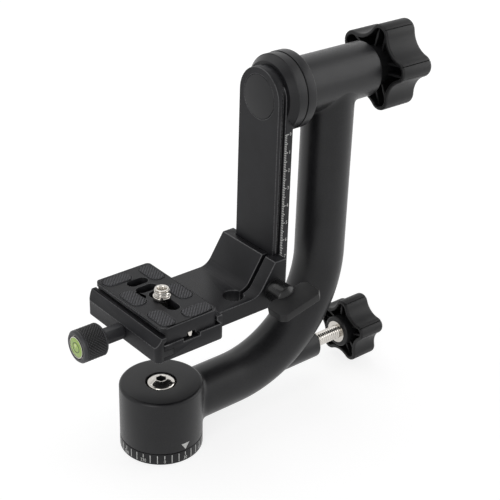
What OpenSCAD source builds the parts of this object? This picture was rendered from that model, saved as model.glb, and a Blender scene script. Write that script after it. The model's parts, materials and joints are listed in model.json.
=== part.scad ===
// Gimbal tripod head with a bent-tube yoke, a swing arm and a quick-release platform.
// Millimetres, +Z up. The origin is on the pan axis at the underside of the base.
// +X runs along the tilt axis, from the swing arm towards the two lobed knobs.

/* [Base] */
// Radius of the dial and the drum
drum_r = 22.4; // [21:0.1:26]
// Height of the dial ring
dial_h = 6.6; // [6:0.1:9]
// Height of the drum's top above the underside of the base
drum_top = 38.4; // [38:0.1:42]
// Rounding of the drum's top edge
drum_edge_r = 1.6; // [0.5:0.1:3]
// Radius of the counterbore for the pan screw
pan_recess_r = 8.6; // [8:0.1:10]
// Radius of the pan screw's button head
pan_head_r = 7; // [6:0.1:7.2]
// Height of the pan screw's button head
pan_head_h = 4.4; // [3:0.1:5]
// Radius of the pan spindle
spindle_r = 8; // [7.6:0.1:9]
// Inner radius of the tripod thread
socket_r = 4.0; // [2.6:0.1:4.4]
// Depth of the tripod thread
socket_h = 10; // [8:0.5:12]

/* [Yoke] */
// Radius of the bent tube
tube_r = 14.1; // [12:0.1:14.4]
// Radius of the tube's bend, on its centre line
bend_r = 63; // [55:0.5:70]
// Distance from the pan axis to the tube's upright stretch
tube_reach = 110.1; // [100:0.1:115]
// Height of the pan lock and of the tube's lower stretch
tube_z = 21.07; // [20.5:0.01:22]
// Height of the tilt axis
tilt_z = 185.17; // [175:0.01:200]
// Radius of the tilt housing
housing_r = 15.1; // [14.5:0.1:16]
// Radius of the housing's collar
collar_r = 20.5; // [18:0.1:22]
// Width of the housing's collar
collar_w = 5.6; // [4:0.1:8]
// Length of the tilt housing behind the tube's upright centre line
housing_over = 24.4; // [20:0.1:30]
// Radius of the pan lock's boss
boss_r = 8.53; // [7:0.01:10]
// Distance from the tube's upright centre line back to the boss's end
boss_back = 1.6; // [0:0.1:8]

/* [Swing arm] */
// Width of the rail
rail_w = 30.8; // [28:0.1:32]
// Thickness of the rail
rail_t = 10.35; // [9:0.05:12]
// Distance from the pan axis to the rail's front face
rail_x = 61.6; // [60:0.1:64]
// Thickness of the rail's front flange
flange_t = 2.3; // [1.6:0.1:3]
// Depth of the rail's side grooves
groove_d = 2.1; // [1.4:0.1:2.4]
// Distance from the rail's front face to the groove's rear wall
groove_end = 5; // [4.5:0.1:5.2]
// Length of the rail below the tilt axis
rail_drop = 108; // [95:0.5:110]
// Radius of the inset cap
cap_r = 11.74; // [11:0.01:13]
// Radius of the tilt ring
ring_r = 20.2; // [18:0.1:22]
// Radius of the tilt shaft
shaft_r = 7; // [6:0.1:8]

/* [Knobs] */
// Radius over the tilt knob's lobes
tilt_knob_r = 24.6; // [22:0.1:28]
// Rounding of the tilt knob's lobes
tilt_lobe_r = 6.3; // [5.5:0.1:7]
// Radius at the tilt knob's valleys
tilt_valley_r = 17.9; // [16.5:0.1:19]
// Height of the tilt knob
tilt_knob_h = 22.8; // [18:0.1:26]
// Radius over the pan knob's lobes
pan_knob_r = 19.4; // [18:0.1:22]
// Rounding of the pan knob's lobes
pan_lobe_r = 5; // [4.4:0.1:5.6]
// Radius at the pan knob's valleys
pan_valley_r = 14.1; // [13:0.1:15]
// Height of the pan knob
pan_knob_h = 18.2; // [15:0.1:21]
// Rounding of the tilt knob's outer edge
tilt_far_edge = 3; // [1.5:0.1:3]
// Rounding of the pan knob's outer edge
pan_far_edge = 2.4; // [1.5:0.1:2.6]
// Wall of both knobs
knob_wall = 2.2; // [1.6:0.1:2.6]
// Length of bare thread between the boss and the pan knob
pan_stud_gap = 20; // [6:0.5:24]

/* [Platform] */
// Distance from the rail's lower end down to the platform's underside
deck_drop = 2.52; // [0:0.02:6]
// Thickness of the shelf
shelf_t = 9.1; // [7.5:0.1:9.2]
// Width of the shelf and the upright
shelf_w = 44.4; // [42:0.1:48]
// Height of the upright above the underside
upright_h = 26.35; // [24:0.05:34]
// Slope of the ramp from the shelf to the upright
ramp_angle = 57.5; // [50:0.5:65]
// Radius where the shelf runs into the ramp
ramp_r = 8.5; // [5:0.5:12]
// Length of the clamp body along the plate
clamp_len = 62.2; // [58:0.1:70]
// Radius of the relief hole at the slit's end
relief_r = 5.6; // [3.5:0.1:6]
// Width of the slit
slit_w = 2.4; // [1:0.1:2.8]
// Height of the clamp's fixed and moving claws above the underside
claw_h = 14.25; // [13.6:0.05:15]

/* [Quick-release plate] */
// Length of the plate
plate_len = 60.08; // [52:0.02:64]
// Width of the plate's deck
plate_w = 34.2; // [33.6:0.1:35]
// Width of the plate's dovetail at the bottom
dovetail_w = 33.2; // [32:0.1:33.6]
// Height of the plate
plate_h = 8.85; // [8.5:0.05:9.4]
// Distance from the pan axis to the plate's centre line, towards the clamp knob
plate_off = 3.1; // [3:0.05:3.6]
// Radius of the plate's corners
plate_corner_r = 3.2; // [2:0.1:5]
// Half of the width of the camera screw's slot
slot_r = 3.4; // [3.4:0.1:3.8]
// Radius of the camera screw
camera_screw_r = 3.1; // [2.9:0.01:3.1]
// Radius of the camera bushing's outside thread
bushing_r = 3.9; // [3.7:0.1:4.4]
// Height of the rubber pads above the deck
pad_rise = 0.5; // [0.2:0.1:1]
// Length of the rubber pads
pad_len = 17; // [14:0.1:17.2]
// Width of the rubber pads
pad_w = 9.4; // [8:0.1:9.6]

/* [Clamp knob] */
// Radius of the knurled knob
grip_r = 8.6; // [7.5:0.1:10]
// Length of the knurled knob
grip_len = 14; // [12:0.1:18]
// Length of the knob's neck
neck_len = 12.3; // [9:0.1:14]
// Radius of the knob's neck
neck_r = 4.3; // [3.9:0.1:5]

/* [T-handle] */
// Length of the wing
wing_len = 27.5; // [22:0.5:32]
// Depth of the wing
wing_d = 14.5; // [10:0.5:16]
// Thickness of the wing
wing_t = 4.8; // [3.5:0.1:5.5]
// Slope of the wing
wing_tilt = 13; // [0:1:30]
// Radius of the handle's hub
hub_r = 6.3; // [5:0.1:7]

/* [Hidden] */
$fn = 96;
eps = 0.01;
fit = 0.05; // radial gap of a running or threaded fit
seat = 0.02; // radial gap of a pressed or glued seat
clear = 0.3; // gap between moving pieces that do not touch
face = 0.1; // gap between faces that slide on each other
chamfer = 0.5; // small edge break

black = [0.10, 0.10, 0.11];
black_plastic = [0.07, 0.07, 0.075];
steel = [0.72, 0.71, 0.69];
bronze = [0.62, 0.46, 0.25];
rubber = [0.05, 0.05, 0.05];
nylon = [0.85, 0.84, 0.80];
liquid_green = [0.72, 0.86, 0.16];

// Base, from the ground up
socket_outer_r = socket_r + 1.6;
drum_z0 = dial_h + clear;
washer_t = 0.8;
washer_recess = 0.6;
foot_flange_r = 13;
foot_flange_h = 3.5;
foot_lift = 0.3;
pan_washer_t = 1.6;
spindle_top = drum_top + 1.2 - pan_head_h - pan_washer_t;
web_t = 2;
web_z1 = spindle_top - 2 * face;
web_z0 = web_z1 - web_t;
spindle_neck_r = spindle_r - 2;
pan_bush_r = spindle_r + 2.5;
pan_thread_r = 4;
pan_thread_len = 18;

// Pan lock, along the tube's lower stretch
pad_r = 4.3;
pad_end = 16;
rod_r = 3.5;
lock_thread_r = 4;
boss_root = 20;
boss_end = tube_reach - boss_back;
lock_thread_len = 13;
lock_thread_x = boss_end - lock_thread_len;
pan_hub_x = boss_end + pan_stud_gap;
pan_hub_out = 3.1;
pan_rim_x = pan_hub_x + pan_hub_out;
pan_insert_r = 6.6;
pan_insert_len = 12;

// Tilt joint, along the tilt axis from the rail's front face
ring_sink = 4.35;
ring_w = 9.3;
ring_x0 = rail_x + rail_t - ring_sink;
ring_x1 = ring_x0 + ring_w;
ring_bevel = 3.6;
ring_land = 0.3;
ring_front_r = ring_r - 3.1;
ring_bevel_r = ring_r - 0.45;
collar_x0 = ring_x1 + clear;
housing_x1 = tube_reach + housing_over;
housing_len = housing_x1 - collar_x0;
collar_x1 = collar_x0 + collar_w;
friction_recess = 0.4;
friction_r = 16;
shaft_flange_r = 10.5;
shaft_flange_t = 3.1;
tilt_bush_r = shaft_r + 2;
tilt_bush_len = 12;
shaft_end_x = housing_x1 - 0.7;
shaft_thread_r = 5;
shaft_thread_len = 22;
tilt_washer_r = 13;
tilt_washer_t = 1.4;
tilt_hub_x = housing_x1 + face + tilt_washer_t + face;
tilt_hub_out = 4.3;
tilt_rim_x = tilt_hub_x + tilt_hub_out;
tilt_insert_r = 8;
tilt_insert_len = 16;

// Rail and the channel that rides on it
rail_z0 = tilt_z - rail_drop;
cap_t = 1.8;
arm_screw_pcr = 6.9;
arm_screw_r = 1.6;
arm_screw_head_r = 3;
arm_screw_head_h = 1.7;
arm_screw_len = ring_x0 + shaft_flange_t - clear - rail_x - cap_t;
channel_x = rail_x - clear;
claw_x1 = rail_x + flange_t + 1.5;
channel_half = rail_w / 2 + clear;
claw_bevel = rail_x + flange_t + rail_w / 2 + clear * sqrt(2);

// Platform
deck_z0 = rail_z0 - deck_drop;
shelf_z = deck_z0 + shelf_t;
floor_z = deck_z0 + 9.25;
ridge_x = channel_x - 3.4;
ridge_z = deck_z0 + upright_h;
ramp_foot_x = ridge_x - (ridge_z - shelf_z) / tan(ramp_angle);
ramp_tangent = ramp_r * tan(ramp_angle / 2);
ridge_round = 0.8;
clamp_x1 = 17.4;
clamp_x0 = -20;
clamp_corner_r = 3;
claw_z = deck_z0 + claw_h;
claw_chamfer = 1.5;
slit_y = -12.6;
relief_x = 37.7;
t_screw_x = channel_x - 4.1;
t_screw_z = deck_z0 + 10.65;
t_screw_r = 2.9;
t_screw_reach = 14;

// Plate and its dovetail
plate_x = -plate_off;
plate_z = floor_z + fit;
plate_top = plate_z + plate_h;
lip_h = 1.1;
lip_out = 0.15;
shoulder_h = 1.2;
flange_h = 1.35;
neck_in = 1.3;
neck_half = dovetail_w / 2 - neck_in;
tip_in = 0.9;
tip_half = dovetail_w / 2 - tip_in;
slope_z = plate_z + flange_h;
claw_tip_z = slope_z + tip_in + face * sqrt(2);
pad_sink = 0.8;
pad_corner_r = 4.3;
pads = [[-7.4, 24.1, 0], [7.4, -24.6, 0], [-11.4, -20.8, 90], [-11.4, 3.5, 90], [11.5, -4.6, 90],
    [11.5, 19.4, 90]];
cross_slots = [15.9, 7.8];
cross_slot_half = 3;
cross_slot_r = 3.1;
slot_y0 = -18.5;
slot_y1 = 3.5;
head_channel_half = 8;
head_channel_h = 4.05;
screw_head_r = 7.2;
screw_head_h = 2.6;
washer_top = plate_z + head_channel_h - face;
screw_y = -5.5;
screw_tip_r = 2.25;
screw_tip_len = 3;
bushing_h = 5.8;
bushing_flange_r = bushing_r + 0.7;
bushing_flange_h = 1.7;
bushing_z = plate_top + pad_rise;
stop_y = 28.4;
stop_r = 1.6;
stop_h = 1.1;
stop_thread_r = 1.1;
stop_recess_r = 3;
stop_recess_h = 1.7;
notch_half = 5;
notch_d = 1.9;
notch_len = 8.2;

// Moving jaw
jaw_x0 = -24.4;
jaw_x1 = -20.3;
jaw_shoulder_z = deck_z0 + 8.35;
jaw_ridge_x = -21.5;
jaw_top_z = claw_z - 0.6;
tongue_x = -14.6;
tongue_z0 = deck_z0 + 2.65;
tongue_z1 = deck_z0 + 6.05;
clamp_screw_z = deck_z0 + 4.55;
clamp_screw_r = 3;
clamp_screw_end = -3;
neck_x = jaw_x0 - clear;
grip_x = neck_x - neck_len;
cup_r = 6.3;
lens_r = 5;
level_depth = 5;

// T-handle, outwards from the platform's side
t_face_y = -shelf_w / 2;
t_washer_t = 1;
t_hub_y = t_face_y - face - t_washer_t - face;
t_hub_len = 9.6;
dome_h = 3;
wing_y = -31.5;
wing_chamfer = 2.5;

// ---- helpers ----

// A cylinder along +X from x0 to x1
module rod_x(r, x0, x1) {
    translate([x0, 0, 0]) rotate([0, 90, 0]) cylinder(r = r, h = x1 - x0);
}

// A cylinder along -Y from y0 outwards
module rod_out_y(r, y0, len) {
    translate([0, y0, 0]) rotate([90, 0, 0]) cylinder(r = r, h = len);
}

// Carries what is drawn along +Z to the tilt axis, to run along +X from x
module on_tilt_axis(x) {
    translate([x, 0, tilt_z]) rotate([0, 90, 0]) children();
}

// Carries what is drawn along +Z to the pan lock's axis, to run along +X from x
module on_lock_axis(x) {
    translate([x, 0, tube_z]) rotate([0, 90, 0]) children();
}

// A ring along +Z
module ring(r_in, r_out, h) {
    difference() {
        cylinder(r = r_out, h = h);
        translate([0, 0, -eps]) cylinder(r = r_in, h = h + 2 * eps);
    }
}

// Half outline of a turned bar whose lower and upper edges are rounded by e0 and e1
module turned_half(r, h, e0, e1) {
    translate([0, e0]) square([r, h - e0 - e1]);
    square([r - e0, h / 2]);
    translate([0, h / 2]) square([r - e1, h / 2]);
    translate([r - e0, e0]) circle(e0);
    translate([r - e1, h - e1]) circle(e1);
}

module turned(r, h, e0, e1) {
    rotate_extrude() turned_half(r, h, e0, e1);
}

// A bar with straight chamfers of size c at both ends
module chamfered(r, h, c) {
    rotate_extrude() polygon([[0, 0], [r - c, 0], [r, c], [r, h - c], [r - c, h], [0, h]]);
}

// A flat profile drawn in X and Z, extruded along Y about y = 0
module along_y(len) {
    rotate([90, 0, 0]) linear_extrude(len, center = true) children();
}

// A rectangle with round corners
module round_rect(w, h, r) {
    square([w - 2 * r, h], center = true);
    square([w, h - 2 * r], center = true);
    for (sx = [-1, 1], sy = [-1, 1]) translate([sx * (w / 2 - r), sy * (h / 2 - r)]) circle(r);
}

// A stadium whose straight stretch runs from -half to half along X
module stadium(half, r) {
    square([2 * half, 2 * r], center = true);
    for (s = [-1, 1]) translate([s * half, 0]) circle(r);
}

// ---- lobed knob ----

tilt_knob_turn = 30.5;
pan_knob_turn = 89.5;
lobes = 5;
lobe_step = 360 / lobes;
rim_edge = 1.1;

// Radius of the arc that joins two lobes and touches the valley circle
function valley_round(tip_c, s, valley) =
    (s * s - tip_c * tip_c - valley * valley + 2 * tip_c * valley * cos(lobe_step / 2))
    / (2 * (valley - tip_c * cos(lobe_step / 2) - s));

function polar(r, a) = [r * cos(a), r * sin(a)];

// Where the arcs about a lobe's centre p and a valley's centre q touch
function touch(p, q, s, v) = p + (q - p) * s / (s + v);

// The polygon through the lobe centres and the touching points
function star(c1, s, c2, v) = [for (k = [0:lobes - 1]) each [
    touch(polar(c1, k * lobe_step), polar(c2, (k - 0.5) * lobe_step), s, v),
    polar(c1, k * lobe_step),
    touch(polar(c1, k * lobe_step), polar(c2, (k + 0.5) * lobe_step), s, v)]];

// The knob's outline, drawn inwards by inset
module lobed_outline(tip, s, valley, inset) {
    c1 = tip - s;
    v = valley_round(c1, s, valley);
    c2 = valley + v;
    difference() {
        union() {
            polygon(star(c1, s - inset, c2, v + inset));
            for (k = [0:lobes - 1]) translate(polar(c1, k * lobe_step)) circle(s - inset);
        }
        for (k = [0:lobes - 1]) translate(polar(c2, (k + 0.5) * lobe_step)) circle(v + inset);
    }
}

// Half outline of a cutter whose ends flare out to leave edges rounded by e0 and e1
module flared_half(v, h, e0, e1) {
    difference() {
        translate([0, -1]) square([v + e1, h + 2]);
        translate([v, e0]) square([2 * e1, h - e0 - e1]);
        translate([v + e0, e0]) circle(e0);
        translate([v + e0, -2]) square([2 * e1, e0 + 2]);
        translate([v + e1, h - e1]) circle(e1);
    }
}

// The knob's outside, with its near and far edges rounded by e0 and e1
module lobed_body(tip, s, valley, h, e0, e1) {
    c1 = tip - s;
    v = valley_round(c1, s, valley);
    c2 = valley + v;
    difference() {
        union() {
            linear_extrude(h) polygon(star(c1, s, c2, v));
            for (k = [0:lobes - 1]) translate(polar(c1, k * lobe_step)) turned(s, h, e0, e1);
        }
        for (k = [0:lobes - 1]) translate(polar(c2, (k + 0.5) * lobe_step))
            rotate_extrude() flared_half(v + eps, h, e0, e1);
    }
}

// A hollow lobed knob: its open side at z = 0, two ribs in each lobe, and a hub that stands out
module lobed_knob(tip, s, valley, h, far_edge, hub, hub_out, bore, bore_len) {
    top_t = 3;
    rib_t = 1.2;
    rib_drop = 3;
    rib_off = s * 0.45;
    depth = h - top_t;
    difference() {
        union() {
            difference() {
                lobed_body(tip, s, valley, h, rim_edge, far_edge);
                translate([0, 0, -eps]) linear_extrude(depth + eps) difference() {
                    lobed_outline(tip, s, valley, knob_wall);
                    circle(hub);
                }
            }
            translate([0, 0, rib_drop]) linear_extrude(depth - rib_drop + eps) intersection() {
                lobed_outline(tip, s, valley, knob_wall - 0.2);
                difference() {
                    for (k = [0:lobes - 1], side = [-1, 1]) rotate(k * lobe_step)
                        translate([0, side * rib_off - rib_t / 2]) square([tip, rib_t]);
                    circle(hub - 0.2);
                }
            }
            translate([0, 0, -hub_out]) turned(hub, hub_out + depth, 0.6, 0.1);
        }
        translate([0, 0, -hub_out - eps]) cylinder(r = bore, h = bore_len + eps);
    }
}

// ---- base ----

module base_dial() {
    color(black) difference() {
        chamfered(drum_r, dial_h, chamfer);
        translate([0, 0, -eps]) cylinder(r = foot_flange_r + seat, h = foot_lift + foot_flange_h + eps);
        translate([0, 0, -eps]) cylinder(r = spindle_r + seat, h = dial_h + 2 * eps);
        translate([0, 0, dial_h - washer_recess]) ring(pan_bush_r, drum_r - 3, washer_t);
    }
}

module pan_spindle() {
    color(steel) difference() {
        union() {
            translate([0, 0, foot_lift]) cylinder(r = foot_flange_r, h = foot_flange_h);
            translate([0, 0, foot_lift]) cylinder(r = spindle_r, h = web_z0 - clear - foot_lift);
            cylinder_above(spindle_neck_r, web_z0 - clear - eps, spindle_top);
        }
        translate([0, 0, foot_lift - eps]) cylinder(r = socket_outer_r, h = socket_h - foot_lift + eps);
        cylinder_above(pan_thread_r, spindle_top - pan_thread_len, spindle_top + eps);
    }
}

// A cylinder along +Z from z0 to z1
module cylinder_above(r, z0, z1) {
    translate([0, 0, z0]) cylinder(r = r, h = z1 - z0);
}

module socket_bushing() {
    color(steel) ring(socket_r, socket_outer_r - seat, socket_h);
}

module pan_thrust_washer() {
    color(nylon) translate([0, 0, dial_h - washer_recess])
        ring(pan_bush_r + clear, drum_r - 3 - clear, washer_t);
}

module pan_washer() {
    color(steel) translate([0, 0, spindle_top])
        ring(pan_thread_r + clear, pan_recess_r - clear, pan_washer_t);
}

// Button head: a flat rim below a dome, with a hex socket
module pan_screw() {
    head_z = spindle_top + pan_washer_t;
    rim = 0.8;
    dome = pan_head_h - rim;
    ball = (pan_head_r * pan_head_r + dome * dome) / (2 * dome);
    color(steel) difference() {
        union() {
            cylinder_above(pan_head_r, head_z, head_z + rim + eps);
            intersection() {
                cylinder_above(pan_head_r, head_z + rim, head_z + pan_head_h);
                translate([0, 0, head_z + pan_head_h - ball]) sphere(ball);
            }
            cylinder_above(pan_thread_r - seat, spindle_top - pan_thread_len + 1, head_z + eps);
        }
        translate([0, 0, head_z + pan_head_h - 2.8]) cylinder(r = 2.9, h = 3, $fn = 6);
    }
}

// ---- yoke ----

module pan_drum() {
    color(black) difference() {
        translate([0, 0, drum_z0]) turned(drum_r, drum_top - drum_z0, chamfer, drum_edge_r);
        cylinder_above(pan_bush_r + seat, drum_z0 - eps, web_z0);
        cylinder_above(spindle_neck_r + clear, web_z0 - eps, web_z1 + eps);
        cylinder_above(pan_recess_r, web_z1, drum_top + eps);
        translate([0, 0, tube_z]) rod_x(pad_r + face, 0, drum_r + 1);
    }
}

// Both bushings leave the brake pad's height free
module pan_bushing_lower() {
    color(bronze) translate([0, 0, drum_z0])
        ring(spindle_r + fit, pan_bush_r, tube_z - pad_r - clear - drum_z0);
}

module pan_bushing_upper() {
    z0 = tube_z + pad_r + clear;
    color(bronze) translate([0, 0, z0]) ring(spindle_r + fit, pan_bush_r, web_z0 - clear - z0);
}

module curved_arm() {
    bend_x = tube_reach - bend_r;
    color(black) difference() {
        union() {
            translate([0, 0, tube_z]) rod_x(tube_r, 0, bend_x);
            translate([bend_x, 0, tube_z + bend_r]) rotate([90, 0, 0])
                rotate_extrude(angle = -90) translate([bend_r, 0]) circle(tube_r);
            translate([tube_reach, 0, 0]) cylinder_above(tube_r, tube_z + bend_r, tilt_z);
            on_lock_axis(bend_x + boss_root) chamfered(boss_r, boss_end - bend_x - boss_root, 0.6);
        }
        cylinder_above(drum_r, 0, drum_top + 10);
        on_tilt_axis(collar_x0) cylinder(r = housing_r, h = housing_len);
        translate([0, 0, tube_z]) rod_x(pad_r + face, 0, lock_thread_x);
        translate([0, 0, tube_z]) rod_x(lock_thread_r + fit, 0, boss_end + 1);
    }
}

module tilt_housing() {
    color(black) difference() {
        union() {
            on_tilt_axis(collar_x0) turned(collar_r, collar_w, 0.2, 0.8);
            on_tilt_axis(collar_x0 + 1) turned(housing_r, housing_len - 1, 0.1, 1.2);
        }
        on_tilt_axis(collar_x0 - eps) cylinder(r = tilt_bush_r + seat, h = housing_len + 2 * eps);
        on_tilt_axis(collar_x0 - eps) cylinder(r = friction_r + clear, h = friction_recess + eps);
    }
}

module tilt_bushing_front() {
    color(bronze) on_tilt_axis(collar_x0 + friction_recess) ring(shaft_r + fit, tilt_bush_r, tilt_bush_len);
}

module tilt_bushing_rear() {
    color(bronze) on_tilt_axis(housing_x1 - 1 - tilt_bush_len)
        ring(shaft_r + fit, tilt_bush_r, tilt_bush_len);
}

// ---- pan lock ----

// The pad's inner end is hollowed to the spindle's radius
module pan_brake_pad() {
    color(bronze) difference() {
        translate([0, 0, tube_z]) rod_x(pad_r, spindle_r - 2, pad_end);
        cylinder_above(spindle_r + fit, 0, drum_top);
        translate([0, 0, tube_z]) rod_x(rod_r + fit, pad_end - 3, pad_end + 1);
    }
}

module pan_lock_rod() {
    color(steel) {
        on_lock_axis(pad_end - 3 + face) cylinder(r = rod_r, h = lock_thread_x - pad_end + 3);
        on_lock_axis(lock_thread_x)
            chamfered(lock_thread_r, pan_hub_x + pan_insert_len - lock_thread_x - 1, 0.4);
    }
}

module pan_knob() {
    color(black_plastic) on_lock_axis(pan_rim_x) rotate(90 + pan_knob_turn)
        lobed_knob(pan_knob_r, pan_lobe_r, pan_valley_r, pan_knob_h, pan_far_edge, 9.2, pan_hub_out,
            pan_insert_r + seat, pan_insert_len);
}

module pan_knob_insert() {
    color(steel) on_lock_axis(pan_hub_x - 0.3) ring(lock_thread_r + seat, pan_insert_r, pan_insert_len);
}

// ---- swing arm ----

module rail_profile() {
    w = rail_w / 2;
    half = [[0, -w], [flange_t, -w], [flange_t + groove_d, groove_d - w], [groove_end, groove_d - w],
        [groove_end, -w], [rail_t, -w]];
    polygon(concat(half, [for (i = [len(half) - 1:-1:0]) [half[i][0], -half[i][1]]]));
}

module swing_arm() {
    color(black) difference() {
        intersection() {
            translate([rail_x, 0, rail_z0]) linear_extrude(rail_drop + rail_w) rail_profile();
            union() {
                translate([rail_x, -rail_w / 2, rail_z0]) cube([rail_t, rail_w, rail_drop]);
                on_tilt_axis(rail_x) cylinder(r = rail_w / 2, h = rail_t);
            }
        }
        on_tilt_axis(ring_x0) ring_body(seat);
        on_tilt_axis(rail_x - eps) cylinder(r = cap_r + seat, h = cap_t + eps);
        for (k = [0:3]) arm_screw_place(k) {
            translate([0, 0, -1]) cylinder(r = arm_screw_head_r + seat, h = arm_screw_head_h + 1);
            cylinder(r = arm_screw_r + face, h = rail_t);
        }
    }
}

// The ring's turned outside, grown by gap
module ring_body(gap) {
    rotate_extrude() polygon([[0, 0], [ring_front_r + gap, 0], [ring_bevel_r + gap, ring_bevel],
        [ring_r + gap, ring_bevel + ring_land], [ring_r + gap, ring_w], [0, ring_w]]);
}

module arm_screw_place(k) {
    on_tilt_axis(rail_x + cap_t) rotate(45 + 90 * k) translate([arm_screw_pcr, 0, 0]) children();
}

module arm_cap() {
    color(black) on_tilt_axis(rail_x) difference() {
        cylinder(r = cap_r, h = cap_t);
        translate([0, 0, -eps]) ring(cap_r - 0.35, cap_r + 1, 0.35);
    }
}

module arm_screw(k) {
    color(steel) arm_screw_place(k) difference() {
        union() {
            cylinder(r = arm_screw_head_r, h = arm_screw_head_h);
            cylinder(r = arm_screw_r, h = arm_screw_len);
        }
        translate([0, 0, -eps]) cylinder(r = 1.4, h = 1, $fn = 6);
    }
}

module tilt_ring() {
    color(black) difference() {
        on_tilt_axis(ring_x0) ring_body(0);
        on_tilt_axis(ring_x0 - eps) cylinder(r = shaft_flange_r + seat, h = shaft_flange_t + eps);
        on_tilt_axis(ring_x0) cylinder(r = shaft_r + seat, h = ring_w + eps);
    }
}

module tilt_shaft() {
    color(steel) difference() {
        union() {
            on_tilt_axis(ring_x0) cylinder(r = shaft_flange_r, h = shaft_flange_t);
            on_tilt_axis(ring_x0) cylinder(r = shaft_r, h = shaft_end_x - ring_x0);
            on_tilt_axis(shaft_end_x - 1) chamfered(shaft_thread_r - fit, shaft_thread_len, 0.6);
        }
        for (k = [0:3]) arm_screw_place(k) cylinder(r = arm_screw_r + seat, h = arm_screw_len + face);
    }
}

module tilt_friction_washer() {
    color(nylon) on_tilt_axis(ring_x1)
        ring(shaft_r + clear, friction_r, clear + friction_recess - face);
}

// ---- tilt lock ----

module tilt_thrust_washer() {
    color(steel) on_tilt_axis(housing_x1 + face) ring(shaft_thread_r + clear, tilt_washer_r, tilt_washer_t);
}

module tilt_knob() {
    color(black_plastic) on_tilt_axis(tilt_rim_x) rotate(90 + tilt_knob_turn)
        lobed_knob(tilt_knob_r, tilt_lobe_r, tilt_valley_r, tilt_knob_h, tilt_far_edge, 11, tilt_hub_out,
            tilt_insert_r + seat, tilt_hub_out + tilt_insert_len);
}

module tilt_knob_insert() {
    color(steel) on_tilt_axis(tilt_hub_x) ring(shaft_thread_r, tilt_insert_r, tilt_insert_len);
}

// ---- platform ----

// Shelf, ramp and upright, drawn in X and Z
module shelf_profile() {
    fillet_x = ramp_foot_x - ramp_tangent;
    difference() {
        union() {
            translate([clamp_x1 - 1, deck_z0]) square([claw_x1 - clamp_x1 + 1, shelf_t]);
            polygon([[fillet_x, shelf_z - 1], [fillet_x, shelf_z],
                [ramp_foot_x + ramp_tangent * cos(ramp_angle), shelf_z + ramp_tangent * sin(ramp_angle)],
                [ridge_x, ridge_z], [claw_x1, ridge_z], [claw_x1, shelf_z - 1]]);
        }
        translate([fillet_x, shelf_z + ramp_r]) circle(ramp_r);
    }
}

// The clamp body with its fixed claw and the slot for the jaw's tongue, drawn in X and Z
module clamp_profile() {
    tip = plate_x + tip_half;
    root = tip + claw_tip_z - floor_z;
    polygon([[clamp_x0, deck_z0], [clamp_x1, deck_z0], [clamp_x1, claw_z - claw_chamfer],
        [clamp_x1 - claw_chamfer, claw_z], [tip, claw_z], [tip, claw_tip_z], [root, floor_z],
        [clamp_x0, floor_z], [clamp_x0, tongue_z1 + clear], [tongue_x + clear, tongue_z1 + clear],
        [tongue_x + clear, tongue_z0 - clear], [clamp_x0, tongue_z0 - clear]]);
}

// The rail's channel with its two 45 degree claws, seen from above
module channel_profile() {
    polygon([[channel_x, -channel_half], [claw_bevel - channel_half, -channel_half],
        [claw_x1, claw_x1 - claw_bevel], [claw_x1 + 1, claw_x1 - claw_bevel],
        [claw_x1 + 1, claw_bevel - claw_x1], [claw_x1, claw_bevel - claw_x1],
        [claw_bevel - channel_half, channel_half], [channel_x, channel_half]]);
}

module platform() {
    color(black) difference() {
        union() {
            along_y(shelf_w) shelf_profile();
            intersection() {
                along_y(clamp_len) clamp_profile();
                clamp_outline(clamp_x1, clamp_x0 - 1, 1);
            }
        }
        translate([0, 0, deck_z0 - 1]) linear_extrude(upright_h + 2) channel_profile();
        translate([relief_x, slit_y, deck_z0 - 1]) cylinder(r = relief_r, h = upright_h);
        translate([relief_x, slit_y - slit_w / 2, deck_z0 - 1])
            cube([claw_x1 - relief_x, slit_w, upright_h + 2]);
        translate([t_screw_x, 0, t_screw_z]) {
            rod_out_y(t_screw_r + clear, slit_y, shelf_w);
            rod_out_y(t_screw_r + fit, t_face_y + 1 + (slit_y - t_face_y) + t_screw_reach, t_screw_reach + 2);
        }
        translate([0, 0, clamp_screw_z]) rod_x(clamp_screw_r + fit, clamp_x0 - 1, clamp_screw_end + 2);
        for (s = [-1, 1]) translate([plate_x - notch_half, s * clamp_len / 2 - (s + 1) / 2 * notch_len,
            floor_z - notch_d]) cube([2 * notch_half, notch_len, notch_d + 1]);
    }
}

// Plan outline of a clamp half from x, where its two corners are round, to the joint; s is x's side
module clamp_outline(x, joint, s) {
    r = clamp_corner_r;
    w = clamp_len / 2;
    translate([0, 0, deck_z0 - 1]) linear_extrude(claw_h + 2) {
        translate([s > 0 ? joint : x + r, -w]) square([abs(x - joint) - r, clamp_len]);
        translate([s > 0 ? x - r - 1 : x, r - w]) square([r + 1, clamp_len - 2 * r]);
        for (sy = [-1, 1]) translate([x - s * r, sy * (w - r)]) circle(r);
    }
}

module t_handle_washer() {
    color(steel) translate([t_screw_x, t_face_y - face, t_screw_z]) rotate([90, 0, 0])
        ring(t_screw_r + clear, hub_r - clear, t_washer_t);
}

// Hub with a domed end and a flat wing across it
module t_handle() {
    ball = (hub_r * hub_r + dome_h * dome_h) / (2 * dome_h);
    color(black_plastic) translate([t_screw_x, t_hub_y, t_screw_z]) rotate([90, 0, 0]) difference() {
        union() {
            cylinder(r = hub_r, h = t_hub_len + eps);
            intersection() {
                translate([0, 0, t_hub_len]) cylinder(r = hub_r, h = dome_h);
                translate([0, 0, t_hub_len + dome_h - ball]) sphere(ball);
            }
            rotate(wing_tilt) translate([0, 0, t_hub_y - wing_y]) wing();
        }
        translate([0, 0, -eps]) cylinder(r = t_screw_r + seat, h = t_hub_len - 1.5);
    }
}

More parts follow.
